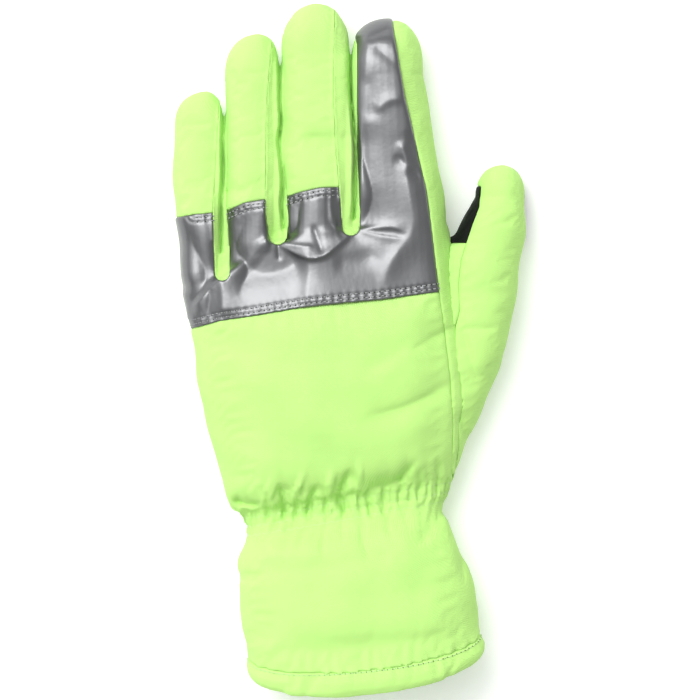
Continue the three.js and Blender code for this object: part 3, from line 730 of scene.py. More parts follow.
def drop_crumbs(mesh):
    """Deletes every loose body but the largest."""
    made = bmesh.new()
    made.from_mesh(mesh)
    made.verts.ensure_lookup_table()
    seen = np.zeros(len(made.verts), bool)
    bodies = []
    for start in made.verts:
        if seen[start.index]:
            continue
        seen[start.index] = True
        body, edge = [], [start]
        while edge:
            vert = edge.pop()
            body.append(vert)
            for link in vert.link_edges:
                other = link.other_vert(vert)
                if not seen[other.index]:
                    seen[other.index] = True
                    edge.append(other)
        bodies.append(body)
    bodies.sort(key=len)
    crumbs = [vert for body in bodies[:-1] for vert in body]
    bmesh.ops.delete(made, geom=crumbs, context="VERTS")
    made.to_mesh(mesh)
    made.free()


def face_outwards(mesh):
    """Turns the faces over if the closed mesh has them pointing inwards."""
    mesh.calc_loop_triangles()
    points = np.zeros(len(mesh.vertices) * 3)
    mesh.vertices.foreach_get("co", points)
    corners = np.zeros(len(mesh.loop_triangles) * 3, int)
    mesh.loop_triangles.foreach_get("vertices", corners)
    a, b, c = points.reshape(-1, 3)[corners.reshape(-1, 3)].transpose(1, 0, 2)
    if (a * np.cross(b, c)).sum() < 0:
        mesh.flip_normals()


# Relief: the folds, pleats and sewn grooves of the cloth.

def smooth_line(line):
    """The line with its corners rounded off."""
    if len(line) < 3:
        return line
    line = np.array(line, float)
    rows = smooth_rows(np.column_stack([-lengths_along(line), line]), FOLD_STEP)
    return rows[:, 1:].tolist()


def over_table(block):
    """From 0 near the table to 1 on the upper side."""
    return ramp(block.z, FOLDS_FROM, FOLDS_FULL)


def fold_relief(block, folds, faded=True):
    """Ridges and hollows along lines, each from a table row of line, width, height and sharp."""
    total = np.zeros(block.flat[0].shape)
    for line, width, height, sharp in folds:
        line = smooth_line(line)
        left, right = np.broadcast_to(width, 2)
        away, along = line_distance(*block.flat, line)
        on_right = line_distance(*block.flat, offset_line(line, SIDE_STEP))[0] < away
        share = along / sum(math.dist(*ends) for ends in zip(line, line[1:]))
        fade = ramp(np.minimum(share, 1 - share), 0, FOLD_FADE) if faded else 1
        fade = fade * fade * (3 - 2 * fade)
        total += height * fade * bell(away, np.where(on_right, right, left), sharp)
    return total[:, :, None] * over_table(block)


def ripple_relief(block, height, length, seed):
    """Soft unevenness of the cloth: a few waves that cross each other."""
    random = np.random.default_rng(seed)
    total = 0
    for _ in range(RIPPLES):
        way = random.normal(size=3)
        way *= 2 * np.pi / (length * random.uniform(*RIPPLE_LENGTHS) * np.linalg.norm(way))
        turns = way[0] * block.x + way[1] * block.y + way[2] * block.z
        total = total + np.sin(turns + random.uniform(0, RIPPLE_START))
    return height * total / math.sqrt(RIPPLES) * ramp(block.z, RIPPLES_FROM, RIPPLES_FULL)


def gather_relief(block):
    """Pleats that the elastic pulls the cloth into, all round the wrist."""
    row = block.row()
    left, right, height = hand_at(row, LEFT, RIGHT, HEIGHT)
    aside = block.x - (left + right) / 2
    turned = aside + (height - block.z) * np.tanh(aside / WRIST_ROUNDING)
    uneven = turned
    for drift, length, start in PLEAT_DRIFTS:
        uneven = uneven + drift * np.sin(turned / length + start)
    drift, length, start = PLEAT_SPREAD
    uneven = uneven + drift * (row - WRIST_TOP) * np.sin(turned / length + start)

    above, below = np.maximum(row - WRIST_TOP, 0), np.maximum(WRIST_END - row, 0)
    elastic = (above == 0) & (below == 0)
    depth = HAND_PLEAT * np.exp(-above / HAND_PLEAT_REACH) * (above > 0)
    depth = depth + CUFF_PLEAT * np.exp(-below / CUFF_PLEAT_REACH) * (below > 0) + ELASTIC_PLEAT * elastic
    pleats = np.abs(np.sin(uneven * np.pi / PLEAT)) ** PLEAT_SHAPE - PLEAT_LEVEL

    fine = 0
    for length in FINE_PLEATS:
        sway = FINE_SWAY * np.sin(row * FINE_SWAY_RATE + length)
        fine = fine + np.sin(2 * np.pi * uneven / length + sway)
    fine = fine * elastic * ramp(row, WRIST_END, FINE_RISE)
    sewn = sum(bell(row - place, ELASTIC_GROOVE) for place in ELASTIC_ROWS) * elastic

    past_edge = row - WRIST_TOP - SCALLOP * pleats
    puff = PUFF_STEP * np.tanh(past_edge / PUFF_EDGE) * np.exp(-np.abs(past_edge) / PUFF_REACH)
    puff = puff * np.clip((PUFF_END_X - block.x) / PUFF_FADE, LEAST_PUFF, 1) * over_table(block)
    total = depth * pleats + FINE_PLEAT * fine - ELASTIC_GROOVE_DEPTH * sewn + puff
    return total * np.maximum(ramp(block.z, PLEATS_FROM, PLEATS_FULL), LEAST_PLEATS)


def stitched_edge_relief(block, line):
    """The grooves of a double row of stitches, and the puckers across them."""
    away, along = line_distance(*block.flat, line)
    grooves = sum(bell(away - row, ROW_GROOVE) for row in DOUBLE_ROW)
    turns = 2 * np.pi * along / PUCKER_LENGTH + 2 * np.sin(along / 9)
    puckers = bell(away - PUCKER_MIDDLE, PUCKER_WIDTH) * np.sin(turns)
    return (PUCKER * puckers - ROW_GROOVE_DEPTH * grooves)[:, :, None]


def seam_pucker_relief(block, line):
    """Small puckers that run out from a seam, uneven in length and in height."""
    away, along = line_distance(*block.flat, line)
    turns = 2 * np.pi * along / SEAM_PUCKER_LENGTH + 1.5 * np.sin(along / 7)
    wave = np.sin(turns) * (0.6 + 0.4 * np.sin(along / 5 + 1))
    return (SEAM_PUCKER * wave * np.exp(-away / SEAM_PUCKER_REACH))[:, :, None] * over_table(block)


def seam_relief(block):
    """The grooves and welts between the fingers, and the shoulders of the filled fingers."""
    borders = [strip["border"] for strip in STRIPS.values()]
    grooves = [(border, *BETWEEN_FINGERS) for border in borders] + [(borders[-1], *INDEX_GAP)]
    welts = [(strip["left"], *SEAM_WELT) for strip in STRIPS.values()]
    longer = [[*line, (line[-1][0], line[-1][1] - SHOULDER_LENGTH)] for line in borders]
    swells = [(line, *FINGER_SHOULDER) for line in longer] + [(longer[-1], *INDEX_SHOULDER)]
    shoulders = [(offset_line(line, aside).tolist(), *shape) for line, aside, shape in swells]
    shoulders.append(([*INDEX_SEAM, SIDE_SHOULDER_END], *SIDE_SHOULDER))
    return fold_relief(block, grooves + welts, faded=False) + fold_relief(block, shoulders)


def relief_of(block, name):
    """How far the cloth of a piece stands out from its skin."""
    relief = seam_relief(block)
    if name == "reflective_band":
        relief = relief + fold_relief(block, SILVER_FOLDS)
        relief = relief + ripple_relief(block, *SILVER_RIPPLE, SEED) + SILVER_RAISED
        for line in [BAND_LOWER_EDGE, *BAND_TOPS]:
            relief = relief + stitched_edge_relief(block, line)
        return relief
    relief = relief + fold_relief(block, CLOTH_FOLDS)
    relief = relief + ripple_relief(block, *CLOTH_RIPPLE, SEED) + ripple_relief(block, *FINE_RIPPLE, SEED + 1)
    if name in GATHERED:
        relief = relief + gather_relief(block) + fold_relief(block, GATHER_FOLDS)
    if name == "hand_and_cuff":
        relief = relief + seam_pucker_relief(block, BAND_LOWER_EDGE)
        hem_share = np.exp(-np.maximum(block.row() - HEM_TOP, 0) / HEM_PUCKER_REACH)
        relief = relief + HEM_PUCKER * hem_share * np.sin(block.x * HEM_PUCKER_RATE)
    if name in ("hand_and_cuff", "index_side_strip"):
        relief = relief + seam_pucker_relief(block, WRIST_SEAM)
    return relief


# Panels.

def thumb_palm_side(block):
    """Below zero on the side of the thumb that faces the palm."""
    return np.minimum(block.outline("thumb_inside"), block.z - THUMB_UNDERSIDE_Z)


def hand_and_cuff_side(block):
    """Below zero on the back of the hand, and all round from the elastic to the hem."""
    back = np.maximum(block.outline("hand_back"), -block.outline("index_side_strip"))
    return np.minimum(np.maximum(back, PALM_SEAM_Z - block.z), block.row() - WRIST_TOP)


# What a cut is measured from: how far each point lies beyond it, below zero inside the panel.
CUTS = {
    "in": lambda block, name: block.outline(name),
    "out": lambda block, name: -block.outline(name),
    "above": lambda block, z: z - block.z,
    "below": lambda block, z: block.z - z,
    "row_above": lambda block, row: row - block.row(),
    "row_below": lambda block, row: block.row() - row,
    "hand_and_cuff": lambda block, _: hand_and_cuff_side(block),
    "thumb_back": lambda block, _: np.minimum(-thumb_palm_side(block), GRIP_PATCH[1] - block.y),
    "thumb_front": lambda block, end: np.maximum(thumb_palm_side(block), block.y - end),
    "thumb_grip": lambda block, ends: np.maximum(
        thumb_palm_side(block), np.maximum(ends[0] - block.y, block.y - ends[1])
    ),
}


def panel_values(block, name, skins):
    """The distance field of one padded wall."""
    panel = PANELS[name]
    cuts = [(CUTS[kind](block, where), depth, width) for kind, where, depth, width in panel.cuts]
    body = hand_field(block, skins)
    if panel.skin == "thumb":
        cuts.append((relief_of(block, "index_side_strip") - body, *THUMB_TUCK))
        body = blended(block.distance(skins["thumb"]), body, THUMB_FILLET)
    if name in GATHERED:
        inside_thumb = block.distance(skins["thumb"]) + PANELS["thumb_back"].wall
        cuts.append((-np.maximum(inside_thumb, block.y - THUMB_MOUTH_Y), 0, 1))
    values = sewn_wall(body, panel.wall, cuts, relief_of(block, name))
    return np.maximum(values, -block.z)


def make_panel(name, material):
    """One padded piece of the glove in place of its CAD nodes."""
    panel = PANELS[name]
    nodes = panel.nodes or (name,)
    corners = np.array([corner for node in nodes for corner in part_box(node)]) / MM
    block = Block(corners.min(axis=0) - BLOCK_MARGIN, corners.max(axis=0) + BLOCK_MARGIN, panel.pitch)
    piece = panel_object(name + "_cloth", block, panel_values(block, name, padded_skins()))
    piece.data.materials.append(material)
    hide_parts(*nodes)
    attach(piece, "root")


# Finishes.

def set_inputs(tree, node, inputs):
    """Links each named input of a node to a socket, or sets its value."""
    for name, value in dict(inputs).items():
        if isinstance(value, bpy.types.NodeSocket):
            tree.links.new(value, node.inputs[name])
        else:
            node.inputs[name].default_value = value


def add_node(tree, kind, inputs=(), **settings):
    """A node with its settings made, and its inputs linked or set."""
    node = tree.nodes.new(kind)
    for name, value in settings.items():
        setattr(node, name, value)
    set_inputs(tree, node, inputs)
    return node


def calculated(tree, operation, *values):
    """The result of a Math node."""
    return add_node(tree, "ShaderNodeMath", enumerate(values), operation=operation).outputs[0]


def noise(tree, place, scale, detail=2.0):
    """Blotches from 0 to 1, with so many of them to a metre."""
    inputs = {"Vector": place, "Scale": scale, "Detail": detail}
    return add_node(tree, "ShaderNodeTexNoise", inputs).outputs["Fac"]


def mixed_colour(tree, share, a, b):
    """Colour a where the share is 0 and colour b where it is 1."""
    node = add_node(tree, "ShaderNodeMix", data_type="RGBA")
    set_inputs(tree, node, {"Factor": share, 6: (*a, 1), 7: (*b, 1)})
    return node.outputs[2]


def darker(colour, share):
    """The colour with this share of its light."""
    return [share * part for part in colour]


def bumped(tree, height, distance, strength, under=None):
    """The normal of a surface with fine relief, over coarser relief if its normal is given."""
    inputs = {"Height": height, "Distance": distance, "Strength": strength}
    if under is not None:
        inputs["Normal"] = under
    return add_node(tree, "ShaderNodeBump", inputs).outputs[0]


def new_group(name, inputs, outputs):
    """A shader group that reads a place, with number inputs and outputs."""
    tree = bpy.data.node_groups.new(name, "ShaderNodeTree")
    tree.interface.new_socket("Place", in_out="INPUT", socket_type="NodeSocketVector")
    for socket, value in inputs.items():
        tree.interface.new_socket(socket, in_out="INPUT", socket_type="NodeSocketFloat").default_value = value
    for socket in outputs:
        tree.interface.new_socket(socket, in_out="OUTPUT", socket_type="NodeSocketFloat")
    return tree, tree.nodes.new("NodeGroupInput").outputs, tree.nodes.new("NodeGroupOutput").inputs


@functools.cache
def woven_cloth():
    """The threads of a woven cloth, the fuzz on them, and soft blotches over them, each from 0 to 1."""
    tree, given, result = new_group(
        "Woven cloth", {"Thread Spacing": CLOTH_WEAVE, "Blotch Size": 0.03}, ("Threads", "Fuzz", "Blotches")
    )
    drift = add_node(tree, "ShaderNodeTexNoise", {"Vector": given["Place"], "Scale": 70.0, "Detail": 1.0})
    bent = add_node(
        tree, "ShaderNodeVectorMath", {0: drift.outputs["Color"], 1: (WEAVE_DRIFT,) * 3, 2: given["Place"]},
        operation="MULTIPLY_ADD",
    )
    x, y, z = add_node(tree, "ShaderNodeSeparateXYZ", {0: bent.outputs[0]}).outputs
    turns = calculated(tree, "DIVIDE", 2 * math.pi, given["Thread Spacing"])
    across = calculated(tree, "MULTIPLY", calculated(tree, "ADD", x, z), turns)
    down = calculated(tree, "MULTIPLY", calculated(tree, "MULTIPLY_ADD", z, WEAVE_SLOPE, y), turns)
    waves = [calculated(tree, "SINE", way) for way in (across, down)]
    threads = calculated(tree, "MULTIPLY_ADD", calculated(tree, "MULTIPLY", *waves), 0.5, 0.5)
    tree.links.new(threads, result["Threads"])
    tree.links.new(noise(tree, given["Place"], 2400.0, 3.0), result["Fuzz"])
    blotches = noise(tree, given["Place"], calculated(tree, "DIVIDE", 1.0, given["Blotch Size"]))
    tree.links.new(blotches, result["Blotches"])
    return tree


def add_woven_cloth(tree, place, spacing):
    """The outputs of the woven cloth's group, placed in a material."""
    cloth = add_node(tree, "ShaderNodeGroup", node_tree=woven_cloth())
    set_inputs(tree, cloth, {"Place": place, "Thread Spacing": spacing})
    return [cloth.outputs[name] for name in ("Threads", "Fuzz", "Blotches")]


def new_finish(name):
    """A material with its Principled shader, and the piece's own coordinates."""
    material = bpy.data.materials.new(name)
    material.use_nodes = True
    tree = material.node_tree
    place = tree.nodes.new("ShaderNodeTexCoord").outputs["Object"]
    return material, tree, tree.nodes["Principled BSDF"], place


def cloth_finish(name, colour, between, spacing, bump, roughness, sheen):
    """Woven cloth: threads, fuzz and slightly uneven dye, a little darker between its threads."""
    material, tree, shader, place = new_finish(name)
    threads, fuzz, blotches = add_woven_cloth(tree, place, spacing)
    shade = calculated(tree, "MULTIPLY_ADD", threads, 0.34, calculated(tree, "MULTIPLY", blotches, 0.3))
    shade = calculated(tree, "MULTIPLY_ADD", fuzz, 0.36, shade)
    height = calculated(tree, "MULTIPLY_ADD", fuzz, 0.7, threads)
    set_inputs(tree, shader, {
        "Base Color": mixed_colour(tree, shade, darker(colour, between), colour),
        "Normal": bumped(tree, height, 0.0003, bump),
        "Roughness": calculated(tree, "MULTIPLY_ADD", fuzz, 0.16, roughness - 0.08),
        "Specular IOR Level": 0.18, "Sheen Weight": sheen, "Sheen Roughness": 0.45,
    })
    return material


def silver_finish(colour):
    """Reflective film on cloth: a soft metallic gloss over fine crinkles and beads."""
    material, tree, shader, place = new_finish("Silver film")
    crinkles = noise(tree, place, 60.0)
    fine = noise(tree, place, 420.0)
    beads = noise(tree, place, 5200.0, 1.0)
    waves = bumped(tree, crinkles, 0.0022, 0.14)
    small = bumped(tree, fine, 0.0003, 0.2, waves)
    set_inputs(tree, shader, {
        "Base Color": mixed_colour(tree, noise(tree, place, 34.0), darker(colour, 0.86), colour),
        "Metallic": 0.82,
        "Roughness": calculated(tree, "MULTIPLY_ADD", fine, 0.08, 0.27),
        "Normal": bumped(tree, beads, 0.00004, 0.15, small),
    })
    return material


def thread_finish(name, colour):
    """Sewing thread: twisted plies and a little fuzz. Made darker, it also paints the shade in the needle
    holes.
    """
    material, tree, shader, place = new_finish(name)
    threads, fuzz, _ = add_woven_cloth(tree, place, THREAD_TWIST)
    shade = calculated(tree, "MULTIPLY_ADD", fuzz, 0.6, 0.2)
    set_inputs(tree, shader, {
        "Base Color": mixed_colour(tree, shade, darker(colour, 0.7), colour),
        "Normal": bumped(tree, threads, 0.0001, 0.5),
        "Roughness": 0.6,
    })
    return material


@functools.cache
def finishes():
    """Every finish of the glove, made once from the settings."""
    settings = bpy.context.scene.glove
    cloth, grip, thread = settings.cloth_colour, settings.grip_colour, settings.silver_thread_colour
    return {
        "cloth": cloth_finish("High-visibility cloth", cloth, 0.8, CLOTH_WEAVE, 0.45, 0.85, 0.05),
        "silver": silver_finish(settings.silver_colour),
        "grip": cloth_finish("Black grip cloth", grip, 0.5, GRIP_WEAVE, 0.5, 0.6, 0.0),
        "grey_thread": thread_finish("Grey thread", thread),
        "pale_thread": thread_finish("Pale thread", settings.cloth_thread_colour),
        # Painted shade: the needle holes are dots in a darkened thread or cloth colour, for the shade inside
        # each hole.
        "painted_hole_shade": thread_finish("Painted needle hole shade", darker(thread, 0.1)),
        "painted_cloth_hole_shade": thread_finish("Painted cloth hole shade", darker(cloth, 0.3)),
    }


def floor_finish():
    """White paper that is a little bright of its own."""
    material, tree, shader, place = new_finish("White paper")
    set_inputs(tree, shader, {
        "Base Color": mixed_colour(tree, noise(tree, place, 40.0), (0.9,) * 3, (0.95,) * 3),
        "Roughness": 0.8, "Specular IOR Level": 0.1,
        "Emission Color": (1, 1, 1, 1), "Emission Strength": 0.2,
    })
    return material


# Stitches: Geometry Nodes lay them along paths on the cloth.

def stitch_tree(name):
    """Lays one stitch after another along the edges of a mesh, leaning left and right in turn."""
    tree = bpy.data.node_groups.new(name, "GeometryNodeTree")
    new_socket = tree.interface.new_socket
    new_socket("Path", in_out="INPUT", socket_type="NodeSocketGeometry")
    for socket in ("Pitch", "Start", "Stitch Length", "Thread Thickness", "Lean", "Lift"):
        new_socket(socket, in_out="INPUT", socket_type="NodeSocketFloat")
    new_socket("Thread", in_out="INPUT", socket_type="NodeSocketMaterial")
    new_socket("Stitches", in_out="OUTPUT", socket_type="NodeSocketGeometry")
    given = tree.nodes.new("NodeGroupInput").outputs
    result = tree.nodes.new("NodeGroupOutput").inputs

    path = add_node(tree, "GeometryNodeMeshToCurve", {"Mesh": given["Path"]})
    trimmed = {0: path.outputs[0], 4: given["Start"], 5: BEYOND_THE_END}
    sewn = add_node(tree, "GeometryNodeTrimCurve", trimmed, mode="LENGTH")
    places = add_node(
        tree, "GeometryNodeCurveToPoints", {"Curve": sewn.outputs[0], "Length": given["Pitch"]}, mode="LENGTH"
    )
    normal = {"Name": "surface_normal"}
    outwards = add_node(tree, "GeometryNodeInputNamedAttribute", normal, data_type="FLOAT_VECTOR").outputs[0]
    along = add_node(
        tree, "FunctionNodeAxesToRotation",
        {"Primary Axis": places.outputs["Tangent"], "Secondary Axis": outwards},
        primary_axis="X", secondary_axis="Z",
    )
    turn = calculated(tree, "MODULO", tree.nodes.new("GeometryNodeInputIndex").outputs[0], 2.0)
    side = calculated(tree, "MULTIPLY_ADD", turn, 2.0, -1.0)
    angle = calculated(tree, "MULTIPLY", side, given["Lean"])
    lean = add_node(tree, "FunctionNodeAxisAngleToRotation", {"Axis": (0, 0, 1), "Angle": angle})
    turned = add_node(
        tree, "FunctionNodeRotateRotation", {"Rotation": along.outputs[0], "Rotate By": lean.outputs[0]},
        rotation_space="LOCAL",
    )
    lift = add_node(tree, "ShaderNodeVectorMath", {0: outwards, "Scale": given["Lift"]}, operation="SCALE")
    lifted = add_node(
        tree, "GeometryNodeSetPosition", {0: places.outputs["Points"], "Offset": lift.outputs[0]}
    )
    half_length, half_thickness = (
        calculated(tree, "MULTIPLY", given[size], 0.5) for size in ("Stitch Length", "Thread Thickness")
    )
    size = add_node(
        tree, "ShaderNodeCombineXYZ", {"X": half_length, "Y": half_thickness, "Z": half_thickness}
    )
    stitch = add_node(tree, "GeometryNodeMeshUVSphere", {"Segments": 8, "Rings": 6, "Radius": 1.0})
    smooth = add_node(tree, "GeometryNodeSetShadeSmooth", {0: stitch.outputs[0]})
    laid = add_node(tree, "GeometryNodeInstanceOnPoints", {
        "Points": lifted.outputs[0], "Instance": smooth.outputs[0], "Rotation": turned.outputs[0],
        "Scale": size.outputs[0],
    })
    real = add_node(tree, "GeometryNodeRealizeInstances", {0: laid.outputs[0]})
    threaded = add_node(
        tree, "GeometryNodeSetMaterial", {"Geometry": real.outputs[0], "Material": given["Thread"]}
    )
    tree.links.new(threaded.outputs[0], result["Stitches"])
    return tree


def surface_under(name):
    """The cloth of a piece, to drop paths on."""
    cloth = bpy.data.objects[name].data
    points = [vertex.co.copy() for vertex in cloth.vertices]
    return BVHTree.FromPolygons(points, [list(face.vertices) for face in cloth.polygons])


def path_from_above(surface, line):
    """The line, in millimetres from above, laid on the surface at even steps."""
    line = np.array(line, float)
    lengths = lengths_along(line)
    places = np.linspace(0, lengths[-1], max(2, round(lengths[-1] / PATH_STEP)))
    hits = []
    for x, y in zip(np.interp(places, lengths, line[:, 0]), np.interp(places, lengths, line[:, 1])):
        hits.append(surface.ray_cast(Vector((x, y, DROP_HEIGHT)) * MM, Vector((0, 0, -1)))[:2])
    return hits


def path_round(surface, row):
    """A row of the wrist or cuff, laid on the surface from its outside."""
    values = [row, *hand_at(row, LEFT, RIGHT, HEIGHT, SLANT, BOW)]
    ring = section(values, RING_POINTS)
    middle = Vector(((values[LEFT] + values[RIGHT]) / 2, 0, values[HEIGHT] / 2)) * MM
    hits = []
    for point in ring[np.argsort(np.arctan2(ring[:, 2] - values[HEIGHT] / 2, ring[:, 0]))]:
        point = Vector(point) * MM
        inwards = Vector((middle.x, point.y, middle.z)) - point
        start = point - inwards.normalized() * DROP_MARGIN
        hits.append(surface.ray_cast(start, inwards)[:2])
    return hits


def stitch_row(name, paths, thread, pitch, length, thickness, *, lean=0.0, start=0.0, pieces_slot="shell"):
    """Stitches along every path, as one mesh that rides on the glove."""
    points, normals, edges = [], [], []
    for path in paths:
        last = None
        for place, normal in path:
            if place is None or place.z < LOWEST_STITCH * MM:
                last = None
                continue
            if last is not None and (place - points[last]).length < BREAK_IN_PATH * MM:
                edges.append((last, len(points)))
            last = len(points)
            points.append(place)
            normals.append(normal if normal.z >= 0 else -normal)
    mesh = bpy.data.meshes.new(name + "_path")
    mesh.from_pydata(points, edges, [])
    outwards = mesh.attributes.new("surface_normal", "FLOAT_VECTOR", "POINT")
    outwards.data.foreach_set("vector", [share for normal in normals for share in normal])
    host = new_object(name + "_path", mesh)
    tree = stitch_tree(name)
    sewing = host.modifiers.new("sewing", "NODES")
    sewing.node_group = tree
    values = {
        "Pitch": pitch, "Start": start, "Stitch Length": length, "Thread Thickness": thickness,
        "Lean": lean, "Lift": THREAD_LIFT * thickness, "Thread": finishes()[thread],
    }
    for socket in tree.interface.items_tree:
        if socket.name in values:
            sewing[socket.identifier] = values[socket.name]
    depsgraph = bpy.context.evaluated_depsgraph_get()
    sewn = bpy.data.meshes.new_from_object(host.evaluated_get(depsgraph))
    sewn.name = name
    piece = new_object(name, sewn)
    bpy.data.objects.remove(host)
    bpy.data.meshes.remove(mesh)
    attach(piece, "root")


# The add-on: settings, one operator for each group of pieces, and the panel that lists them.

def colour_setting(name, description, colour):
    """A colour that a user may change."""
    return bpy.props.FloatVectorProperty(
        name=name, description=description, default=colour, subtype="COLOR", size=3, min=0, max=1
    )


def length_setting(name, description, millimetres):
    """A length that a user may change."""
    return bpy.props.FloatProperty(
        name=name, description=description, default=millimetres * MM, unit="LENGTH", min=0.0001, precision=5
    )


class GloveSettings(bpy.types.PropertyGroup):
    """Colours and stitch sizes of the glove."""

    cloth_colour: colour_setting("Cloth", "Colour of the high-visibility cloth", (0.54, 0.9, 0.25))
    silver_colour: colour_setting("Silver", "Colour of the reflective film", (0.185, 0.188, 0.192))
    grip_colour: colour_setting("Grip patch", "Colour of the panel inside the thumb", (0.003, 0.0035, 0.0035))
    silver_thread_colour: colour_setting("Silver's thread", "Thread along the silver", (0.36, 0.37, 0.37))
    cloth_thread_colour: colour_setting("Elastic's thread", "Thread over the elastic", (0.66, 0.93, 0.42))
    stitch_pitch: length_setting("Stitch pitch", "From one stitch to the next on the silver panel", 2.2)
    stitch_length: length_setting("Stitch length", "Length of a stitch on the silver panel", 1.8)
    thread_thickness: length_setting("Thread thickness", "Thickness of the sewing thread", 0.55)


def make_panels(names, finish="cloth"):
    """The pieces of one operator, all in the same finish."""
    for name in names:
        make_panel(name, finishes()[finish])
    return {"FINISHED"}


class GLOVE_OT_hand_and_cuff(bpy.types.Operator):
    """Makes the back of the hand with the gathered wrist and the cuff, the hem and the palm"""

    bl_idname = "glove.hand_and_cuff"
    bl_label = "Hand and cuff"

    def execute(self, context):
        return make_panels(("hand_and_cuff", "cuff_hem", "palm_panel"))


class GLOVE_OT_finger_backs(bpy.types.Operator):
    """Makes the backs of the little, ring and middle fingers"""

    bl_idname = "glove.finger_backs"
    bl_label = "Finger backs"

    def execute(self, context):
        return make_panels(("little_finger_back", "ring_finger_back", "middle_finger_back"))


class GLOVE_OT_side_strips(bpy.types.Operator):
    """Makes the strips between the fingers and the strip down the index finger's outer side"""

    bl_idname = "glove.side_strips"
    bl_label = "Side strips"

    def execute(self, context):
        return make_panels([*STRIPS, "index_side_strip"])


class GLOVE_OT_silver_panel(bpy.types.Operator):
    """Makes the reflective panel over the knuckles and the index finger"""

    bl_idname = "glove.silver_panel"
    bl_label = "Silver panel"

    def execute(self, context):
        return make_panels(["reflective_band"], finish="silver")


class GLOVE_OT_thumb(bpy.types.Operator):
    """Makes the thumb's back, front and black grip patch"""

    bl_idname = "glove.thumb"
    bl_label = "Thumb"

    def execute(self, context):
        make_panels(("thumb_back", "thumb_front"))
        return make_panels(["thumb_grip_patch"], finish="grip")


class GLOVE_OT_stitching(bpy.types.Operator):
    """Sews the double rows of the silver panel, the rows over the elastic and the hem's row"""

    bl_idname = "glove.stitching"
    bl_label = "Stitching"

    def execute(self, context):
        settings = context.scene.glove
        pitch, length, thickness = settings.stitch_pitch, settings.stitch_length, settings.thread_thickness
        silver = surface_under("reflective_band_cloth")
        edges = [list(reversed(BAND_LOWER_EDGE))] + BAND_TOPS
        rows = [path_from_above(silver, offset_line(edge, row)) for edge in edges for row in DOUBLE_ROW]
        stitch_row("silver_stitches", rows, "grey_thread", pitch, length, thickness, pieces_slot="reflective")
        # Dark dots of painted shade in the needle holes go between the silver panel's stitches.
        stitch_row(
            "silver_hole_shade_dots", rows, "painted_hole_shade", pitch, *HOLE_SHADE_SIZE,
            start=pitch / 2, pieces_slot="reflective",
        )
        wrist = surface_under("hand_and_cuff_cloth")
        rows = [path_round(wrist, row) for row in ELASTIC_ROWS]
        thin = ELASTIC_THREAD * thickness
        stitch_row("elastic_stitches", rows, "pale_thread", *ELASTIC_STITCH, thin, lean=ELASTIC_LEAN)
        rows = [path_round(surface_under("cuff_hem_cloth"), HEM_TOP - HEM_ROW)]
        stitch_row("hem_stitches", rows, "pale_thread", pitch, length, thickness)
        # Dark dots of painted shade in the needle holes go between the hem's stitches.
        stitch_row("hem_hole_shade_dots", rows, "painted_cloth_hole_shade", pitch, *HOLE_SHADE_SIZE, start=pitch / 2)
        return {"FINISHED"}


class GLOVE_OT_studio(bpy.types.Operator):
    """Makes the floor, the light and the camera"""

    bl_idname = "glove.studio"
    bl_label = "Studio"

    def execute(self, context):
        scene = context.scene
        floor = bpy.data.meshes.new("floor")
        far = FLOOR_HALF
        corners = [(-far, -far), (far, -far), (far, far), (-far, far)]
        floor.from_pydata([(x, y, -FLOOR_DROP) for x, y in corners], [], [(0, 1, 2, 3)])
        floor.materials.append(floor_finish())
        floor_object = new_object("floor", floor)

        key = bpy.data.lights.new("key", "AREA")
        key.shape = "DISK"
        key.size = KEY_WIDTH
        key.energy = KEY_WATTS
        key_object = new_object("key", key)
        key_object.location = KEY_PLACE
        key_object.rotation_euler = (-Vector(KEY_PLACE)).to_track_quat("-Z", "Y").to_euler()
        scene.world = tent_light()

        lens = bpy.data.cameras.new("camera")
        lens.lens = lens.sensor_width * CAMERA_HEIGHT / PICTURE_WIDTH
        camera = new_object("camera", lens)
        camera.location = (0, 0, CAMERA_HEIGHT)
        scene.camera = camera
        scene.view_settings.view_transform = "Standard"
        scene.view_settings.look = "None"
        return {"FINISHED"}


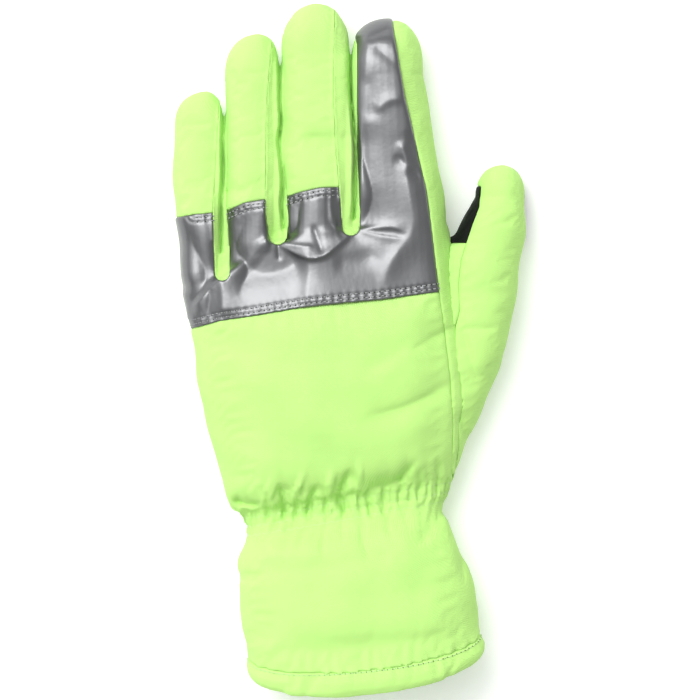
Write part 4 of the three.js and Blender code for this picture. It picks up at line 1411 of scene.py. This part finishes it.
def tent_light():
    """Soft light from all round, brightest from the upper left."""
    world = bpy.data.worlds.new("light tent")
    world.use_nodes = True
    tree = world.node_tree
    way = tree.nodes.new("ShaderNodeTexCoord").outputs["Generated"]
    bright_way = Vector(TENT_BRIGHT_WAY).normalized()
    facing = add_node(tree, "ShaderNodeVectorMath", {0: way, 1: bright_way}, operation="DOT_PRODUCT")
    share = add_node(tree, "ShaderNodeMapRange", {"Value": facing.outputs["Value"], "From Min": TENT_FROM})
    focused = calculated(tree, "POWER", share.outputs["Result"], TENT_FOCUS)
    strength = calculated(tree, "MULTIPLY_ADD", focused, TENT_BRIGHT - TENT_DARK, TENT_DARK)
    tree.links.new(strength, tree.nodes["Background"].inputs["Strength"])
    tree.nodes["Background"].inputs["Color"].default_value = (1, 1, 1, 1)
    return world


OPERATORS = (
    GLOVE_OT_hand_and_cuff, GLOVE_OT_finger_backs, GLOVE_OT_side_strips, GLOVE_OT_silver_panel,
    GLOVE_OT_thumb, GLOVE_OT_stitching, GLOVE_OT_studio,
)


class GLOVE_PT_build(bpy.types.Panel):
    """Lists the glove's settings and its operators in the order they run"""

    bl_idname = "GLOVE_PT_build"
    bl_label = "Winter glove"
    bl_space_type = "VIEW_3D"
    bl_region_type = "UI"
    bl_category = "Glove"

    def draw(self, context):
        for name in GloveSettings.__annotations__:
            self.layout.prop(context.scene.glove, name)
        for operator in OPERATORS:
            self.layout.operator(operator.bl_idname)


CLASSES = (GloveSettings, *OPERATORS, GLOVE_PT_build)


def register():
    """Adds the settings, the operators and the panel."""
    for one in CLASSES:
        bpy.utils.register_class(one)
    bpy.types.Scene.glove = bpy.props.PointerProperty(type=GloveSettings)


def unregister():
    """Takes them away again."""
    del bpy.types.Scene.glove
    for one in reversed(CLASSES):
        bpy.utils.unregister_class(one)


def main():
    """Makes the glove and its studio."""
    register()
    bpy.ops.glove.hand_and_cuff()
    bpy.ops.glove.finger_backs()
    bpy.ops.glove.side_strips()
    bpy.ops.glove.silver_panel()
    bpy.ops.glove.thumb()
    bpy.ops.glove.stitching()
    bpy.ops.glove.studio()


if __name__ == "__main__":
    main()
